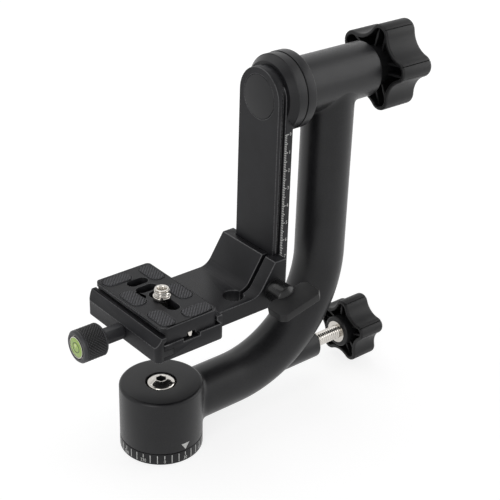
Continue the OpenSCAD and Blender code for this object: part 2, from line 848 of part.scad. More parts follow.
// The wing: a flat bar with cut corners, its long edges broken
module wing() {
    l = wing_len / 2;
    c = wing_chamfer;
    intersection() {
        rotate([90, 0, 0]) linear_extrude(wing_t, center = true)
            polygon([[-l, c], [c - l, 0], [l - c, 0], [l, c], [l, wing_d - c], [l - c, wing_d],
                [c - l, wing_d], [-l, wing_d - c]]);
        linear_extrude(wing_d) round_rect(wing_len, wing_t, 1);
    }
}

module t_handle_screw() {
    y0 = slit_y + t_screw_reach;
    color(steel) translate([t_screw_x, y0, t_screw_z]) rotate([90, 0, 0])
        chamfered(t_screw_r, y0 - t_hub_y + t_hub_len - 2, 0.4);
}

// ---- moving jaw and its knob ----

module jaw_profile() {
    tip = plate_x - tip_half;
    polygon([[jaw_x0, deck_z0], [jaw_x1, deck_z0], [jaw_x1, tongue_z0], [tongue_x, tongue_z0],
        [tongue_x, tongue_z1], [jaw_x1, tongue_z1], [jaw_x1, claw_tip_z - (tip - jaw_x1)],
        [tip, claw_tip_z], [tip, jaw_top_z], [jaw_ridge_x, jaw_top_z], [jaw_x0, jaw_shoulder_z]]);
}

module clamp_jaw() {
    color(black) difference() {
        intersection() {
            along_y(clamp_len) jaw_profile();
            clamp_outline(jaw_x0, tongue_x + 1, -1);
        }
        translate([0, 0, clamp_screw_z]) rod_x(clamp_screw_r + clear, jaw_x0 - 1, tongue_x + 1);
    }
}

module clamp_screw() {
    color(steel) translate([grip_x - 6, 0, clamp_screw_z]) rotate([0, 90, 0])
        chamfered(clamp_screw_r, clamp_screw_end - grip_x + 6, 0.4);
}

// Drawn along +Z from the knob's outer end towards the jaw
module clamp_knob() {
    color(black_plastic) translate([grip_x - grip_len, 0, clamp_screw_z]) rotate([0, 90, 0]) difference() {
        union() {
            chamfered(grip_r, grip_len, 0.9);
            cylinder_above(neck_r, grip_len - 1, grip_len + neck_len);
            cylinder_above(neck_r + 0.9, grip_len - 1, grip_len + 1.2);
        }
        translate([0, 0, -eps]) cylinder(r = cup_r + seat, h = level_depth + eps);
        cylinder_above(clamp_screw_r + seat, grip_len - 6.5, grip_len + neck_len + 1);
    }
}

module level_place() {
    translate([grip_x - grip_len, 0, clamp_screw_z]) rotate([0, 90, 0]) children();
}

module level_cup() {
    color(steel) level_place() difference() {
        translate([0, 0, -0.2]) cylinder(r = cup_r, h = level_depth + 0.2);
        translate([0, 0, -1]) cylinder(r = lens_r + seat, h = level_depth);
    }
}

module level_liquid() {
    color(liquid_green) level_place() cylinder_above(lens_r, 0.6, level_depth - 1);
}

module level_lens() {
    color("white") level_place() cylinder_above(lens_r, -0.2, 0.6);
}

// ---- quick-release plate ----

// Cross section of the plate about its centre line, drawn in X and Z
module plate_profile() {
    d = dovetail_w / 2;
    w = plate_w / 2;
    z1 = plate_top - lip_h;
    neck_z = claw_z + clear;
    side = w - lip_out;
    half = [[d, plate_z], [d, slope_z], [neck_half, slope_z + neck_in], [neck_half, neck_z],
        [side, neck_z + shoulder_h], [side, z1], [w, z1], [w, plate_top - 0.4], [w - 0.4, plate_top]];
    polygon(concat(half, [for (i = [len(half) - 1:-1:0]) [-half[i][0], half[i][1]]]));
}

// Outline of a rubber pad, smaller by gap all round
module pad_outline(gap) {
    round_rect(pad_len - 2 * gap, pad_w - 2 * gap, pad_corner_r - gap);
}

module pad_place(k) {
    translate([plate_x + pads[k][0], pads[k][1], plate_top - pad_sink]) rotate(pads[k][2]) children();
}

module qr_plate() {
    end_c = 0.4;
    l = plate_len / 2;
    color(black) difference() {
        intersection() {
            translate([plate_x, 0, 0]) along_y(plate_len) plate_profile();
            translate([plate_x, 0, plate_z - 1]) linear_extrude(plate_h + 2)
                round_rect(plate_w, plate_len, plate_corner_r);
            translate([plate_x, 0, 0]) rotate([90, 0, 90]) linear_extrude(plate_w + 1, center = true)
                polygon([[-l, plate_z], [l, plate_z], [l, plate_top - end_c], [l - end_c, plate_top],
                    [end_c - l, plate_top], [-l, plate_top - end_c]]);
        }
        for (k = [0:len(pads) - 1]) pad_place(k) linear_extrude(pad_sink + 1) pad_outline(0);
        for (y = cross_slots) translate([plate_x, y, plate_z - 1]) linear_extrude(plate_h + 2)
            stadium(cross_slot_half, cross_slot_r);
        translate([plate_x, (slot_y0 + slot_y1) / 2, plate_z - 1]) rotate(90) linear_extrude(plate_h + 2)
            stadium((slot_y1 - slot_y0) / 2 - slot_r, slot_r);
        translate([plate_x, (slot_y0 + slot_y1) / 2, plate_z - 1]) rotate(90)
            linear_extrude(head_channel_h + 1)
                stadium((slot_y1 - slot_y0) / 2 - slot_r, head_channel_half);
        for (s = [-1, 1]) translate([plate_x, s * stop_y, 0]) {
            cylinder_above(stop_recess_r, plate_z - 1, plate_z + stop_recess_h);
            cylinder_above(stop_thread_r + seat, plate_z, plate_z + stop_recess_h + 3.5);
        }
    }
}

module plate_pad(k) {
    color(rubber) pad_place(k) linear_extrude(pad_sink + pad_rise) pad_outline(face);
}

module plate_stop_screw(s) {
    color(steel) translate([plate_x, s * stop_y, plate_z]) {
        translate([0, 0, -stop_h]) chamfered(stop_r, stop_h + stop_recess_h, 0.3);
        cylinder_above(stop_thread_r, stop_recess_h - eps, stop_recess_h + 3);
    }
}

module screw_washer() {
    color(steel) translate([plate_x, screw_y, washer_top - 0.8])
        ring(camera_screw_r + fit, screw_head_r, 0.8);
}

module camera_screw() {
    head_z = washer_top - 0.8 - face - screw_head_h;
    color(steel) translate([plate_x, screw_y, 0]) difference() {
        union() {
            translate([0, 0, head_z]) chamfered(screw_head_r, screw_head_h, 0.3);
            cylinder_above(camera_screw_r, head_z + 1, bushing_z - face);
            cylinder_above(screw_tip_r, head_z + 1, bushing_z + screw_tip_len);
        }
        translate([-screw_head_r, -0.8, head_z - eps]) cube([2 * screw_head_r, 1.6, 1.2]);
    }
}

// Hollow stud on the screw: a flange, a short neck and the outside thread
module camera_bushing() {
    neck = bushing_r - 0.5;
    z1 = bushing_flange_h;
    color(steel) translate([plate_x, screw_y, bushing_z]) difference() {
        rotate_extrude() polygon([[0, 0], [bushing_flange_r - 0.3, 0], [bushing_flange_r, 0.3],
            [bushing_flange_r, z1 - 0.3], [bushing_flange_r - 0.3, z1], [neck, z1], [neck, z1 + 0.4],
            [bushing_r, z1 + 0.9], [bushing_r, bushing_h - 0.4], [bushing_r - 0.4, bushing_h],
            [0, bushing_h]]);
        translate([0, 0, -eps]) cylinder(r = screw_tip_r + fit, h = bushing_h + 1);
    }
}

base_dial();
pan_spindle();
socket_bushing();
pan_thrust_washer();
pan_washer();
pan_screw();
pan_drum();
pan_bushing_lower();
pan_bushing_upper();
curved_arm();
tilt_housing();
tilt_bushing_front();
tilt_bushing_rear();
pan_brake_pad();
pan_lock_rod();
pan_knob();
pan_knob_insert();
swing_arm();
arm_cap();
arm_screw(0);  // arm_screw_1
arm_screw(1);  // arm_screw_2
arm_screw(2);  // arm_screw_3
arm_screw(3);  // arm_screw_4
tilt_ring();
tilt_shaft();
tilt_friction_washer();
tilt_thrust_washer();
tilt_knob();
tilt_knob_insert();
platform();
t_handle_washer();
t_handle();
t_handle_screw();
clamp_jaw();
clamp_screw();
clamp_knob();
level_cup();
level_liquid();
level_lens();
qr_plate();
plate_pad(0);  // plate_pad_1
plate_pad(1);  // plate_pad_2
plate_pad(2);  // plate_pad_3
plate_pad(3);  // plate_pad_4
plate_pad(4);  // plate_pad_5
plate_pad(5);  // plate_pad_6
plate_stop_screw(-1);  // plate_stop_screw_1
plate_stop_screw(1);  // plate_stop_screw_2
screw_washer();
camera_screw();
camera_bushing();
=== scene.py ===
"""Looks of a gimbal tripod head: a bent-tube yoke, a swing arm with a ruler, and a platform with a
quick-release clamp. Lengths are in millimetres up to the point where a mesh is made."""

import json
import math

import bmesh
import bpy
import numpy as np
from mathutils import Matrix, Vector


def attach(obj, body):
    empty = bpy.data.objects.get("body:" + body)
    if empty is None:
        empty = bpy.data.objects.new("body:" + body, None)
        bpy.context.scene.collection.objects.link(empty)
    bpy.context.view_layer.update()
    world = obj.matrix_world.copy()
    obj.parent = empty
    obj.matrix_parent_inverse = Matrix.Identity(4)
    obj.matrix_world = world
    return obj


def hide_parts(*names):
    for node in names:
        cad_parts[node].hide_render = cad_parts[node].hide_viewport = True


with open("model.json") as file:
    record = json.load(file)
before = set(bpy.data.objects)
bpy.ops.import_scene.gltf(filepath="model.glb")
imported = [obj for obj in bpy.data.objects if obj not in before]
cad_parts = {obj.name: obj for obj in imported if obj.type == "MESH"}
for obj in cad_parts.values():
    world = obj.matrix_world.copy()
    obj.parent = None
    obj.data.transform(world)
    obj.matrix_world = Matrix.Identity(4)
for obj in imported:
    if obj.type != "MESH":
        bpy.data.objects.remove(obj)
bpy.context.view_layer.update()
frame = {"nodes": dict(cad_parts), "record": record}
MM = 0.001
TURN = 2 * math.pi


# ---------------------------------------------------------------- colours and materials


def colour(hex_code):
    """A linear RGBA colour from an sRGB hex code: each channel follows the sRGB curve."""
    srgb = [int(hex_code[i : i + 2], 16) / 255 for i in (0, 2, 4)]
    return [c / 12.92 if c <= 0.04045 else ((c + 0.055) / 1.055) ** 2.4 for c in srgb] + [1]


def add(tree, kind, sockets=(), **settings):
    """Adds a shader node, sets its settings, and fills its sockets with values or links."""
    node = tree.nodes.new("ShaderNode" + kind)
    for key, value in settings.items():
        setattr(node, key, value)
    for key, value in dict(sockets).items():
        if isinstance(value, bpy.types.NodeSocket):
            tree.links.new(value, node.inputs[key])
        else:
            node.inputs[key].default_value = value
    return node


def new_material(name):
    """An empty material with its output, its Principled shader and Object coordinates in metres."""
    material = bpy.data.materials.new(name)
    material.use_nodes = True
    tree = material.node_tree
    tree.nodes.clear()
    shader = add(tree, "BsdfPrincipled")
    add(tree, "OutputMaterial", {"Surface": shader.outputs[0]})
    return material, tree, shader, add(tree, "TexCoord").outputs["Object"]


def grained(name, dark, light, roughness, grain_mm, bump_mm, spread=0.08, metallic=0.0, ior=1.5,
            **more):
    """A finish with one grain: fine noise moves the roughness by its spread and raises a bump, and
    a cloud of 14 mm moves the colour. More sockets go by their names, with _ for a space."""
    cloud_mm = 14
    material, tree, shader, where = new_material(name)
    shader.inputs["Metallic"].default_value = metallic
    if not metallic:
        shader.inputs["IOR"].default_value = ior
    for key, value in more.items():
        shader.inputs[key.replace("_", " ")].default_value = value
    cloud = add(tree, "TexNoise", {"Vector": where, "Scale": 1 / (cloud_mm * MM), "Detail": 2.0})
    grain = add(tree, "TexNoise", {"Vector": where, "Scale": 1 / (grain_mm * MM), "Detail": 3.0})
    both = add(tree, "Math", {0: cloud.outputs["Fac"], 1: grain.outputs["Fac"]}, operation="ADD")
    tone = add(tree, "MapRange", {"Value": both.outputs[0], "From Min": 0.75, "From Max": 1.25})
    mixed = add(tree, "Mix", {0: tone.outputs[0], 6: colour(dark), 7: colour(light)},
                data_type="RGBA")
    rough = add(tree, "MapRange", {"Value": grain.outputs["Fac"], "From Min": 0.3, "From Max": 0.7,
                                   "To Min": roughness - spread, "To Max": roughness + spread})
    bump = add(tree, "Bump", {"Height": grain.outputs["Fac"], "Distance": bump_mm * MM,
                              "Strength": 1.0})
    tree.links.new(mixed.outputs[2], shader.inputs["Base Color"])
    tree.links.new(rough.outputs[0], shader.inputs["Roughness"])
    tree.links.new(bump.outputs[0], shader.inputs["Normal"])
    return material


def grooved(material, ridge, groove):
    """Colours a finish by its piece's depth attribute: the ridges' colour, and painted shade in the
    grooves.
    """
    tree = material.node_tree
    deep = add(tree, "Attribute", attribute_name="depth")
    tone = add(tree, "Mix", {0: deep.outputs["Fac"], 6: colour(ridge), 7: colour(groove)},
               data_type="RGBA")
    tree.links.new(tone.outputs[2], tree.nodes["Principled BSDF"].inputs["Base Color"])
    return material


# Powder-coated aluminium: baked polyester powder, a soft even black with a very fine orange peel.
powder_coat = grained("powder_coated_aluminium_black", "18181a", "202022", 0.36, grain_mm=0.8,
                      bump_mm=0.014, Specular_IOR_Level=0.32)
# Anodised aluminium, bead-blasted first: a dry matt black with a fine sparkle of grain.
blasted = grained("anodised_aluminium_blasted_black", "18181a", "212124", 0.48, grain_mm=0.45,
                  bump_mm=0.016, spread=0.1, Specular_IOR_Level=0.22)
# Anodised aluminium on the broken edges, painted lighter: a painted highlight, a thin lighter line
# along every edge.
painted_edge_highlight = grained("anodised_aluminium_painted_edge_highlight", "3a3a3c", "4a4a4c", 0.28, grain_mm=0.7,
                   bump_mm=0.004, spread=0.05)
# Anodised aluminium, turned: a smoother black for the dial, the ring and the cap.
turned_black = grained("anodised_aluminium_turned_black", "161618", "1e1e20", 0.38, grain_mm=0.7,
                       bump_mm=0.008, spread=0.06, Specular_IOR_Level=0.28)
# Glass-filled nylon, injection-moulded: satin black with a light mould grain.
moulded = grained("nylon_moulded_black", "121213", "1a1a1b", 0.46, grain_mm=0.6, bump_mm=0.012,
                  spread=0.06, Specular_IOR_Level=0.3)
# Glass-filled nylon from a polished mould: black with soft clear highlights.
moulded_bright = grained("nylon_moulded_polished", "121213", "1a1a1b", 0.27, grain_mm=0.8,
                         bump_mm=0.004, spread=0.04, Specular_IOR_Level=0.4)
# Glass-filled nylon, moulded with a diamond knurl: painted shade darkens the grooves, and the
# crowns are lighter.
knurled = grooved(grained("nylon_moulded_knurled", "121213", "1a1a1b", 0.42, grain_mm=0.6,
                          bump_mm=0.006, spread=0.05, Specular_IOR_Level=0.4), "3c3c3f", "050505")
# Free-cutting steel, turned bright: clean grey metal for the inner shafts and washers.
bright_steel = grained("steel_turned_bright", "979592", "b2b0ac", 0.3, grain_mm=0.4,
                       bump_mm=0.003, spread=0.05, metallic=1.0)
# Free-cutting steel, black oxide finish: dark and a little oily.
black_steel = grained("steel_black_oxide", "1b1b1c", "262627", 0.4, grain_mm=0.4, bump_mm=0.004,
                      spread=0.06)
# Steel or brass plated with nickel and polished: the bright, warm metal of the seen screws.
nickel = grained("nickel_plated_polished", "c2beb8", "d6d2cc", 0.14, grain_mm=0.5, bump_mm=0.002,
                 spread=0.05, metallic=1.0)
# Sintered bronze, oil-filled: dull brown-gold.
bronze = grained("bronze_sintered", "7a5c32", "94743f", 0.5, grain_mm=0.3, bump_mm=0.008,
                 metallic=1.0)
# Acetal, turned: a natural off-white.
acetal = grained("acetal_turned_white", "cfcdc5", "dcdad2", 0.45, grain_mm=0.8, bump_mm=0.004,
                 ior=1.48)
# Rubber, moulded: dull black.
rubber = grained("rubber_moulded_black", "121213", "1d1d1e", 0.66, grain_mm=0.35, bump_mm=0.012,
                 spread=0.06, ior=1.52)
# Rubber, moulded with a diamond hatch: a painted sheen makes the ridges grey, and painted shade
# keeps the grooves black.
pad_rubber = grooved(grained("rubber_moulded_hatched", "121213", "1d1d1e", 0.6, grain_mm=0.35,
                             bump_mm=0.008, spread=0.06), "48484c", "040404")
# Screen-printing ink, white, baked on: the scales and the pointer.
ink = grained("ink_screen_printed_white", "d8d8d6", "ededeb", 0.5, grain_mm=0.3, bump_mm=0.003)
# Ring ink inside the level's lens: a thin black circle.
ring_ink = grained("ink_printed_black", "0a0a0a", "101010", 0.2, grain_mm=0.3, bump_mm=0.0)
# Dyed spirit under a clear acrylic lens: the dye's yellow-green below the lens's gloss.
spirit = grained("spirit_dyed_under_acrylic", "8bb216", "a3c826", 0.12, grain_mm=2.0, bump_mm=0.0,
                 spread=0.02, ior=1.49, Coat_Weight=0.5)
# The air bubble in the spirit: a paler green spot.
bubble = grained("air_bubble_in_spirit", "cfe27a", "dcec94", 0.1, grain_mm=2.0, bump_mm=0.0,
                 spread=0.02, ior=1.49, Coat_Weight=0.5)

finishes = {
    "black_powder": powder_coat,
    "black_anodised": blasted,
    "black_plastic": moulded,
    "steel": bright_steel,
    "nickel": nickel,
    "bronze": bronze,
    "nylon": acetal,
    "rubber": rubber,
    "level_liquid": spirit,
    "level_lens": spirit,
}
own_finish = {
    "t_handle_washer": black_steel,
    "tilt_thrust_washer": black_steel,
    "screw_washer": black_steel,
    "tilt_shaft": black_steel,
    "pan_spindle": black_steel,
    "arm_cap": turned_black,
}
bodies = frame["record"]["behaviour"]["bodies"]
body_of = {node: body for body, nodes in bodies.items() for node in nodes}
for part in frame["record"]["subparts"]:
    for slot in frame["nodes"][part["node"]].material_slots:
        slot.material = own_finish.get(part["node"], finishes[part["material_slot"]])


# ---------------------------------------------------------------- surfaces

# Sideways, upwards and forwards directions of a turned piece, by the way that its axis points
AXES = {
    "+z": ((1, 0, 0), (0, 1, 0), (0, 0, 1)),
    "+x": ((0, 1, 0), (0, 0, 1), (1, 0, 0)),
    "-y": ((1, 0, 0), (0, 0, 1), (0, -1, 0)),
}


def carried(local, origin, along):
    """Local points (a, b, c) become origin + a U + b V + c W for the axis named by along."""
    return np.asarray(origin) + np.asarray(local) @ np.array(AXES[along], float)


def polar(r, a):
    """Points (r cos a, r sin a) in a plane."""
    return np.stack([r * np.cos(a), r * np.sin(a)], -1)


def around(r, a, h):
    """Points (r cos a, r sin a, h) round an axis."""
    return np.stack([r * np.cos(a), r * np.sin(a), h + 0 * a], -1)


def spin(a):
    """The matrix that turns rows of points by a about their third axis."""
    return np.array([[math.cos(a), math.sin(a), 0], [-math.sin(a), math.cos(a), 0], [0, 0, 1]])


def hexagon(a, apothem):
    """Radius of a six-sided outline: apothem / cos(angle from the middle of the side)."""
    return apothem / np.cos((a % (TURN / 6)) - TURN / 12)


def woven(points, ring_rows=False, ring_columns=True):
    """A grid of points and its four-sided faces, (i, j), (i, j+1), (i+1, j+1), (i+1, j). The last
    row meets the first with ring_rows, and the last column meets the first with ring_columns."""
    rows, columns = points.shape[:2]
    i, j = np.meshgrid(np.arange(rows - (not ring_rows)), np.arange(columns - (not ring_columns)),
                       indexing="ij")
    i2, j2 = (i + 1) % rows, (j + 1) % columns
    corners = [i * columns + j, i * columns + j2, i2 * columns + j2, i2 * columns + j]
    return points.reshape(-1, 3), np.stack(corners, -1).reshape(-1, 4).tolist()


def rounded(corners, steps=5, closed=False):
    """A line through corners (a, b, radius), each cut by an arc. The arc about C, on the bisector
    at radius / sin(half angle), goes from one side's touching point to the other's."""
    given = np.array([(*c, 0.0)[:3] for c in corners], float)
    at = given[:, :2]
    out = []
    for k, (here, radius) in enumerate(zip(at, given[:, 2])):
        if radius == 0 or (not closed and k in (0, len(at) - 1)):
            out.append(here[None])
            continue
        back, on = (v / np.hypot(*v) for v in (at[k - 1] - here, at[(k + 1) % len(at)] - here))
        half = math.acos(np.clip(back @ on, -1, 1)) / 2
        bisector = (back + on) / np.hypot(*(back + on))
        centre = here + bisector * radius / math.sin(half)
        a, b = (here + side * radius / math.tan(half) - centre for side in (back, on))
        swing = math.pi - 2 * half
        t = np.linspace(0, 1, steps + 1)[:, None]
        arc = np.sin((1 - t) * swing) * a + np.sin(t * swing) * b
        out.append(centre + arc / math.sin(swing))
    return np.concatenate(out)


def turned(profile, origin, along, sides=96, closed=False, relief=None):
    """A profile of (radius, height) rows carried round an axis. relief(a, r, h) lowers r."""
    angle = np.arange(sides) * TURN / sides
    r, h = profile[:, :1] + 0 * angle, profile[:, 1:] + 0 * angle
    if relief:
        r = r - relief(angle + 0 * r, r, h)
    return woven(carried(around(r, angle, h), origin, along), ring_rows=closed)


def bar_rows(r, start, end, gap):
    """Profile rows of a plain bar, one about every gap."""
    h = np.linspace(start, end, int((end - start) / gap) + 1)
    return np.stack([r + 0 * h, h], -1)


def dome_rows(r, start, rise, first, count):
    """Profile rows (r cos a, start - rise sin a) of a flat dome, from a = first to near its top."""
    a = np.linspace(first, math.pi / 2, count)[:-1]
    return np.stack([r * np.cos(a), start - rise * np.sin(a)], -1)


def thread(depth, pitch, start, end, fade):
    """Relief of a thread: depth times a wave of h / pitch - a / turn, faded in and out at its
    ends. The wave is a triangle with its crests and roots cut flat."""
    def relief(a, r, h):
        wave = np.abs(2 * ((h / pitch - a / TURN) % 1) - 1)
        run = np.clip((h - start) / fade, 0, 1) * np.clip((end - h) / fade, 0, 1)
        return depth * np.clip(wave * 1.5 - 0.25, 0, 1) * run * (r > 2.5)
    return relief


def blocks(low, high):
    """Boxes from their lowest and highest corners, as 8 points each."""
    low, high = np.atleast_2d(low), np.atleast_2d(high)
    pick = np.array([(i & 1, i >> 1 & 1, i >> 2) for i in range(8)])
    points = np.where(pick[None], high[:, None], low[:, None]).astype(float)
    sides = np.array([(0, 2, 3, 1), (4, 5, 7, 6), (0, 1, 5, 4), (2, 6, 7, 3), (0, 4, 6, 2),
                      (1, 3, 7, 5)])
    faces = np.arange(len(low))[:, None, None] * 8 + sides
    return points.reshape(-1, 3), faces.reshape(-1, 4).tolist()


def moved(solid, change):
    """A solid with all its points put through change."""
    return change(solid[0]), solid[1]


def made(name, solids, finish, body, stands_for=(), crease=32, depth=None):
    """One piece from closed skins: doubles merge, faces turn outwards, and edges over crease
    degrees stay sharp. depth, one number per point from 0 on a ridge to 1 in a groove, goes into
    the attribute of that name."""
    first = np.cumsum([0] + [len(points) for points, _ in solids])
    faces = [[int(v + start) for v in face] for (_, own), start in zip(solids, first)
             for face in own]
    mesh = bpy.data.meshes.new(name)
    points = np.concatenate([points for points, _ in solids]) * MM
    mesh.from_pydata(points.tolist(), [], faces)
    if depth is not None:
        attribute = mesh.attributes.new("depth", "FLOAT", "POINT")
        attribute.data.foreach_set("value", depth.ravel())
    form = bmesh.new()
    form.from_mesh(mesh)
    bmesh.ops.remove_doubles(form, verts=form.verts, dist=2e-7)
    bmesh.ops.dissolve_degenerate(form, dist=1e-7, edges=form.edges)
    bmesh.ops.recalc_face_normals(form, faces=form.faces)
    form.to_mesh(mesh)
    form.free()
    return shown(mesh, name, [finish], body, stands_for, crease)


def shown(mesh, name, materials, body, stands_for, crease):
    """Puts a mesh on show: smooth but for its creases, on its body, in place of the CAD nodes that
    it stands for."""
    mesh.polygons.foreach_set("use_smooth", np.ones(len(mesh.polygons), bool))
    mesh.set_sharp_from_angle(angle=math.radians(crease))
    piece = bpy.data.objects.new(name, mesh)
    for material in materials:
        mesh.materials.append(material)
    bpy.context.scene.collection.objects.link(piece)
    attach(piece, body)
    if stands_for:
        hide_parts(*stands_for)
    return piece


def flat_regions(form):
    """Lists of faces that lie in one plane and touch along edges, found by walking from face to
    face."""
    one_plane = 0.99998  # least cosine between the normals of two faces in one plane
    left, regions = set(form.faces), []
    while left:
        region, walked = [left.pop()], 0
        while walked < len(region):
            for edge in region[walked].edges:
                for face in edge.link_faces:
                    if face in left and face.normal.dot(region[0].normal) > one_plane:
                        left.discard(face)
                        region.append(face)
            walked += 1
        regions.append(region)
    return regions


def edged(node, width, even=True, sharp_within=((0, 0, 0), (0, 0, 0))):
    """A merged copy of a CAD node, its edges over 26 degrees broken by a round of that width, but
    for edges within a box that stay sharp. A flat region with no hole, where corners - edges +
    faces = 1, becomes one face; one with holes gets a band of faces along all its outlines."""
    crease, band = math.radians(26), 1.25 * width * MM
    mesh = bpy.data.meshes.new(node + "_edged")
    form = bmesh.new()
    form.from_mesh(frame["nodes"][node].data)
    bmesh.ops.remove_doubles(form, verts=form.verts, dist=1e-6)
    form.normal_update()
    for region in flat_regions(form):
        corners = {v for face in region for v in face.verts}
        edges = {e for face in region for e in face.edges}
        if len(corners) - len(edges) + len(region) == 1:
            if len(region) > 1:
                bmesh.ops.dissolve_faces(form, faces=region)
        else:
            bmesh.ops.inset_region(form, faces=region, use_even_offset=even, thickness=band)
    weight = form.edges.layers.float.new("bevel_weight_edge")
    low, high = (Vector(corner) * MM for corner in sharp_within)
    for edge in form.edges:
        middle = (edge.verts[0].co + edge.verts[1].co) / 2
        within = all(a < m < b for a, m, b in zip(low, middle, high))
        edge[weight] = float(edge.calc_face_angle(0) > crease and not within)
    form.to_mesh(mesh)
    form.free()
    mesh.materials.clear()
    piece = shown(mesh, node + "_edged", [blasted, painted_edge_highlight], body_of[node], [node],
                  180)
    bevel = piece.modifiers.new("broken_edges", "BEVEL")
    bevel.width, bevel.segments, bevel.limit_method = width * MM, 2, "WEIGHT"
    bevel.harden_normals, bevel.use_clamp_overlap = True, False
    # The rounds take the painted edge highlight.
    bevel.material = 1
    return piece


# ---------------------------------------------------------------- base and drum

DRUM_R, DRUM_Z0, DRUM_TOP, DIAL_H = 22.4, 6.9, 38.4, 6.6
TUBE_R, TUBE_Z, BEND_R, REACH = 14.1, 21.07, 63.0, 110.1
HOUSING_R, COLLAR_X, TILT_Z = 15.1, 77.2, 185.17

# Dial: a ring with a flange recess below and a washer recess above
dial = rounded([(13.02, 0), (DRUM_R, 0, 0.5), (DRUM_R, DIAL_H, 0.35), (19.4, DIAL_H), (19.4, 6),
                (10.5, 6), (10.5, DIAL_H), (8.02, DIAL_H), (8.02, 3.8), (13.02, 3.8)], closed=True)
made("dial_ring", [turned(dial, (0, 0, 0), "+z", 160, True)], turned_black, "base", ["base_dial"])

# Drum: a cup upside down with a web, a counterbore for the screw and a rounded top edge
drum = rounded([(10.52, DRUM_Z0), (DRUM_R, DRUM_Z0, 0.4), (DRUM_R, DRUM_TOP, 1.8),
                (8.4, DRUM_TOP, 0.35), (8.4, 33.4), (6.3, 33.4), (6.3, 31.4), (10.52, 31.4)],
               steps=8, closed=True)
made("drum", [turned(drum, (0, 0, 0), "+z", 160, True)], powder_coat, "yoke", ["pan_drum"])

SCREW_TURN = np.arange(144) * TURN / 144


def socket_rows(rows):
    """Rows of the pan screw's six-sided socket, from (scale, height) pairs."""
    return [around(scale * hexagon(SCREW_TURN, 2.51), SCREW_TURN, z) for scale, z in rows]


def socket_screw():
    """Rows from the head's rim over its shoulder and its dome, where r = sqrt(ball² - (h - c)²),
    to a six-sided socket and its floor."""
    top, ball, shoulder_at, shoulder_r, mouth = 40.7, 11.99, 6.9, 1.88, 3.15
    start = math.asin(shoulder_at / ball)
    lean = np.linspace(start, math.asin(mouth / ball), 14)
    dome = [(ball * math.sin(a), top - ball + ball * math.cos(a)) for a in lean]
    mid_r = shoulder_at - shoulder_r * math.sin(start)
    mid_z = dome[0][1] - shoulder_r * math.cos(start)
    shoulder = [(mid_r + shoulder_r * math.sin(a), mid_z + shoulder_r * math.cos(a))
                for a in np.linspace(math.pi / 2, start, 8)[:-1]]
    under = [(0, 35.2), (7.5, 35.2), (7.7, 35.4)]
    rows = [around(r, SCREW_TURN, z) for r, z in under + shoulder + dome]
    rows += socket_rows([(1.06, 40.2), (1, 40.0), (1, 37.4), (0.97, 37.3), (0, 37.2)])
    return woven(np.stack(rows))


shank = turned(rounded([(0, 16.6), (3.98, 16.6, 0.4), (3.98, 35.3), (0, 35.3)]), (0, 0, 0), "+z",
               48)
made("pan_screw_polished", [socket_screw(), shank], nickel, "base", ["pan_screw"], 40)

# A dark sheet of painted shade inside the socket: down its wall, over its floor, and back up nearer
# to the axis
socket_shade = socket_rows([(0.94, 40.0), (0.995, 40.0), (0.995, 37.42), (0, 37.42), (0, 37.5),
                      (0.94, 37.5)])
made("pan_screw_socket_painted_shade", [woven(np.stack(socket_shade), ring_rows=True)], black_steel, "base",
     crease=30)


# ---------------------------------------------------------------- yoke

RING = np.arange(128) * TURN / 128


def bent_tube():
    """A circle of the tube's radius carried along a straight, a quarter bend and an upright. Its
    point is centre(s) + R (cos a Y + sin a N), where N is square to the path in the plane y = 0."""
    bend = np.linspace(0, math.pi / 2, 49)
    bend_x, bend_z = REACH - BEND_R, TUBE_Z + BEND_R
    path = np.concatenate([
        [(x, TUBE_Z) for x in (2, 12, 24, 36)],
        np.stack([bend_x + BEND_R * np.sin(bend), bend_z - BEND_R * np.cos(bend)], -1),
        [(REACH, z) for z in (110, 135, 160, TILT_Z)],
    ])
    lean = np.concatenate([np.zeros(4), bend, np.full(4, math.pi / 2)])[:, None]
    x = path[:, :1] - TUBE_R * np.sin(RING) * np.sin(lean)
    z = path[:, 1:] + TUBE_R * np.sin(RING) * np.cos(lean)
    skin = np.stack([x, TUBE_R * np.cos(RING) + 0 * x, z], -1)
    ends = [np.repeat(np.array([[[x, 0, z]]], float), len(RING), 1)
            for x, z in (path[0], path[-1])]
    return woven(np.concatenate([ends[0], skin, ends[1]]))


def blend(on_tube, corner, on_body, inside, steps=10):
    """A band (1-t)² A + 2t(1-t) C + t² B from the tube's skin A to the body's skin B with the
    corner C as its handle, closed by a row sunk inside."""
    t = np.linspace(0, 1, steps)[:, None, None]
    band = (1 - t) ** 2 * on_tube + 2 * t * (1 - t) * corner + t**2 * on_body
    return woven(np.concatenate([band, inside[None]]), ring_rows=True)


def drum_fillet(size):
    """Blend of tube and drum: the corner is where the cylinders meet, x = sqrt(R² - y²)."""
    y, z = TUBE_R * np.cos(RING), TUBE_R * np.sin(RING)
    corner = np.stack([np.sqrt(DRUM_R**2 - y**2), y, TUBE_Z + z], -1)
    way = np.stack([DRUM_R * np.arcsin(y / DRUM_R), z], -1)
    way = way * (1 + size / np.hypot(*way.T))[:, None]
    up = np.clip(TUBE_Z + way[:, 1], DRUM_Z0 + 0.4, DRUM_TOP - 1.6)
    body = around(DRUM_R, way[:, 0] / DRUM_R, up)
    inside = corner - np.stack([2 + 0 * y, y * 0.1, z * 0.1], -1)
    return blend(corner + np.array((size, 0, 0)), corner, body, inside)


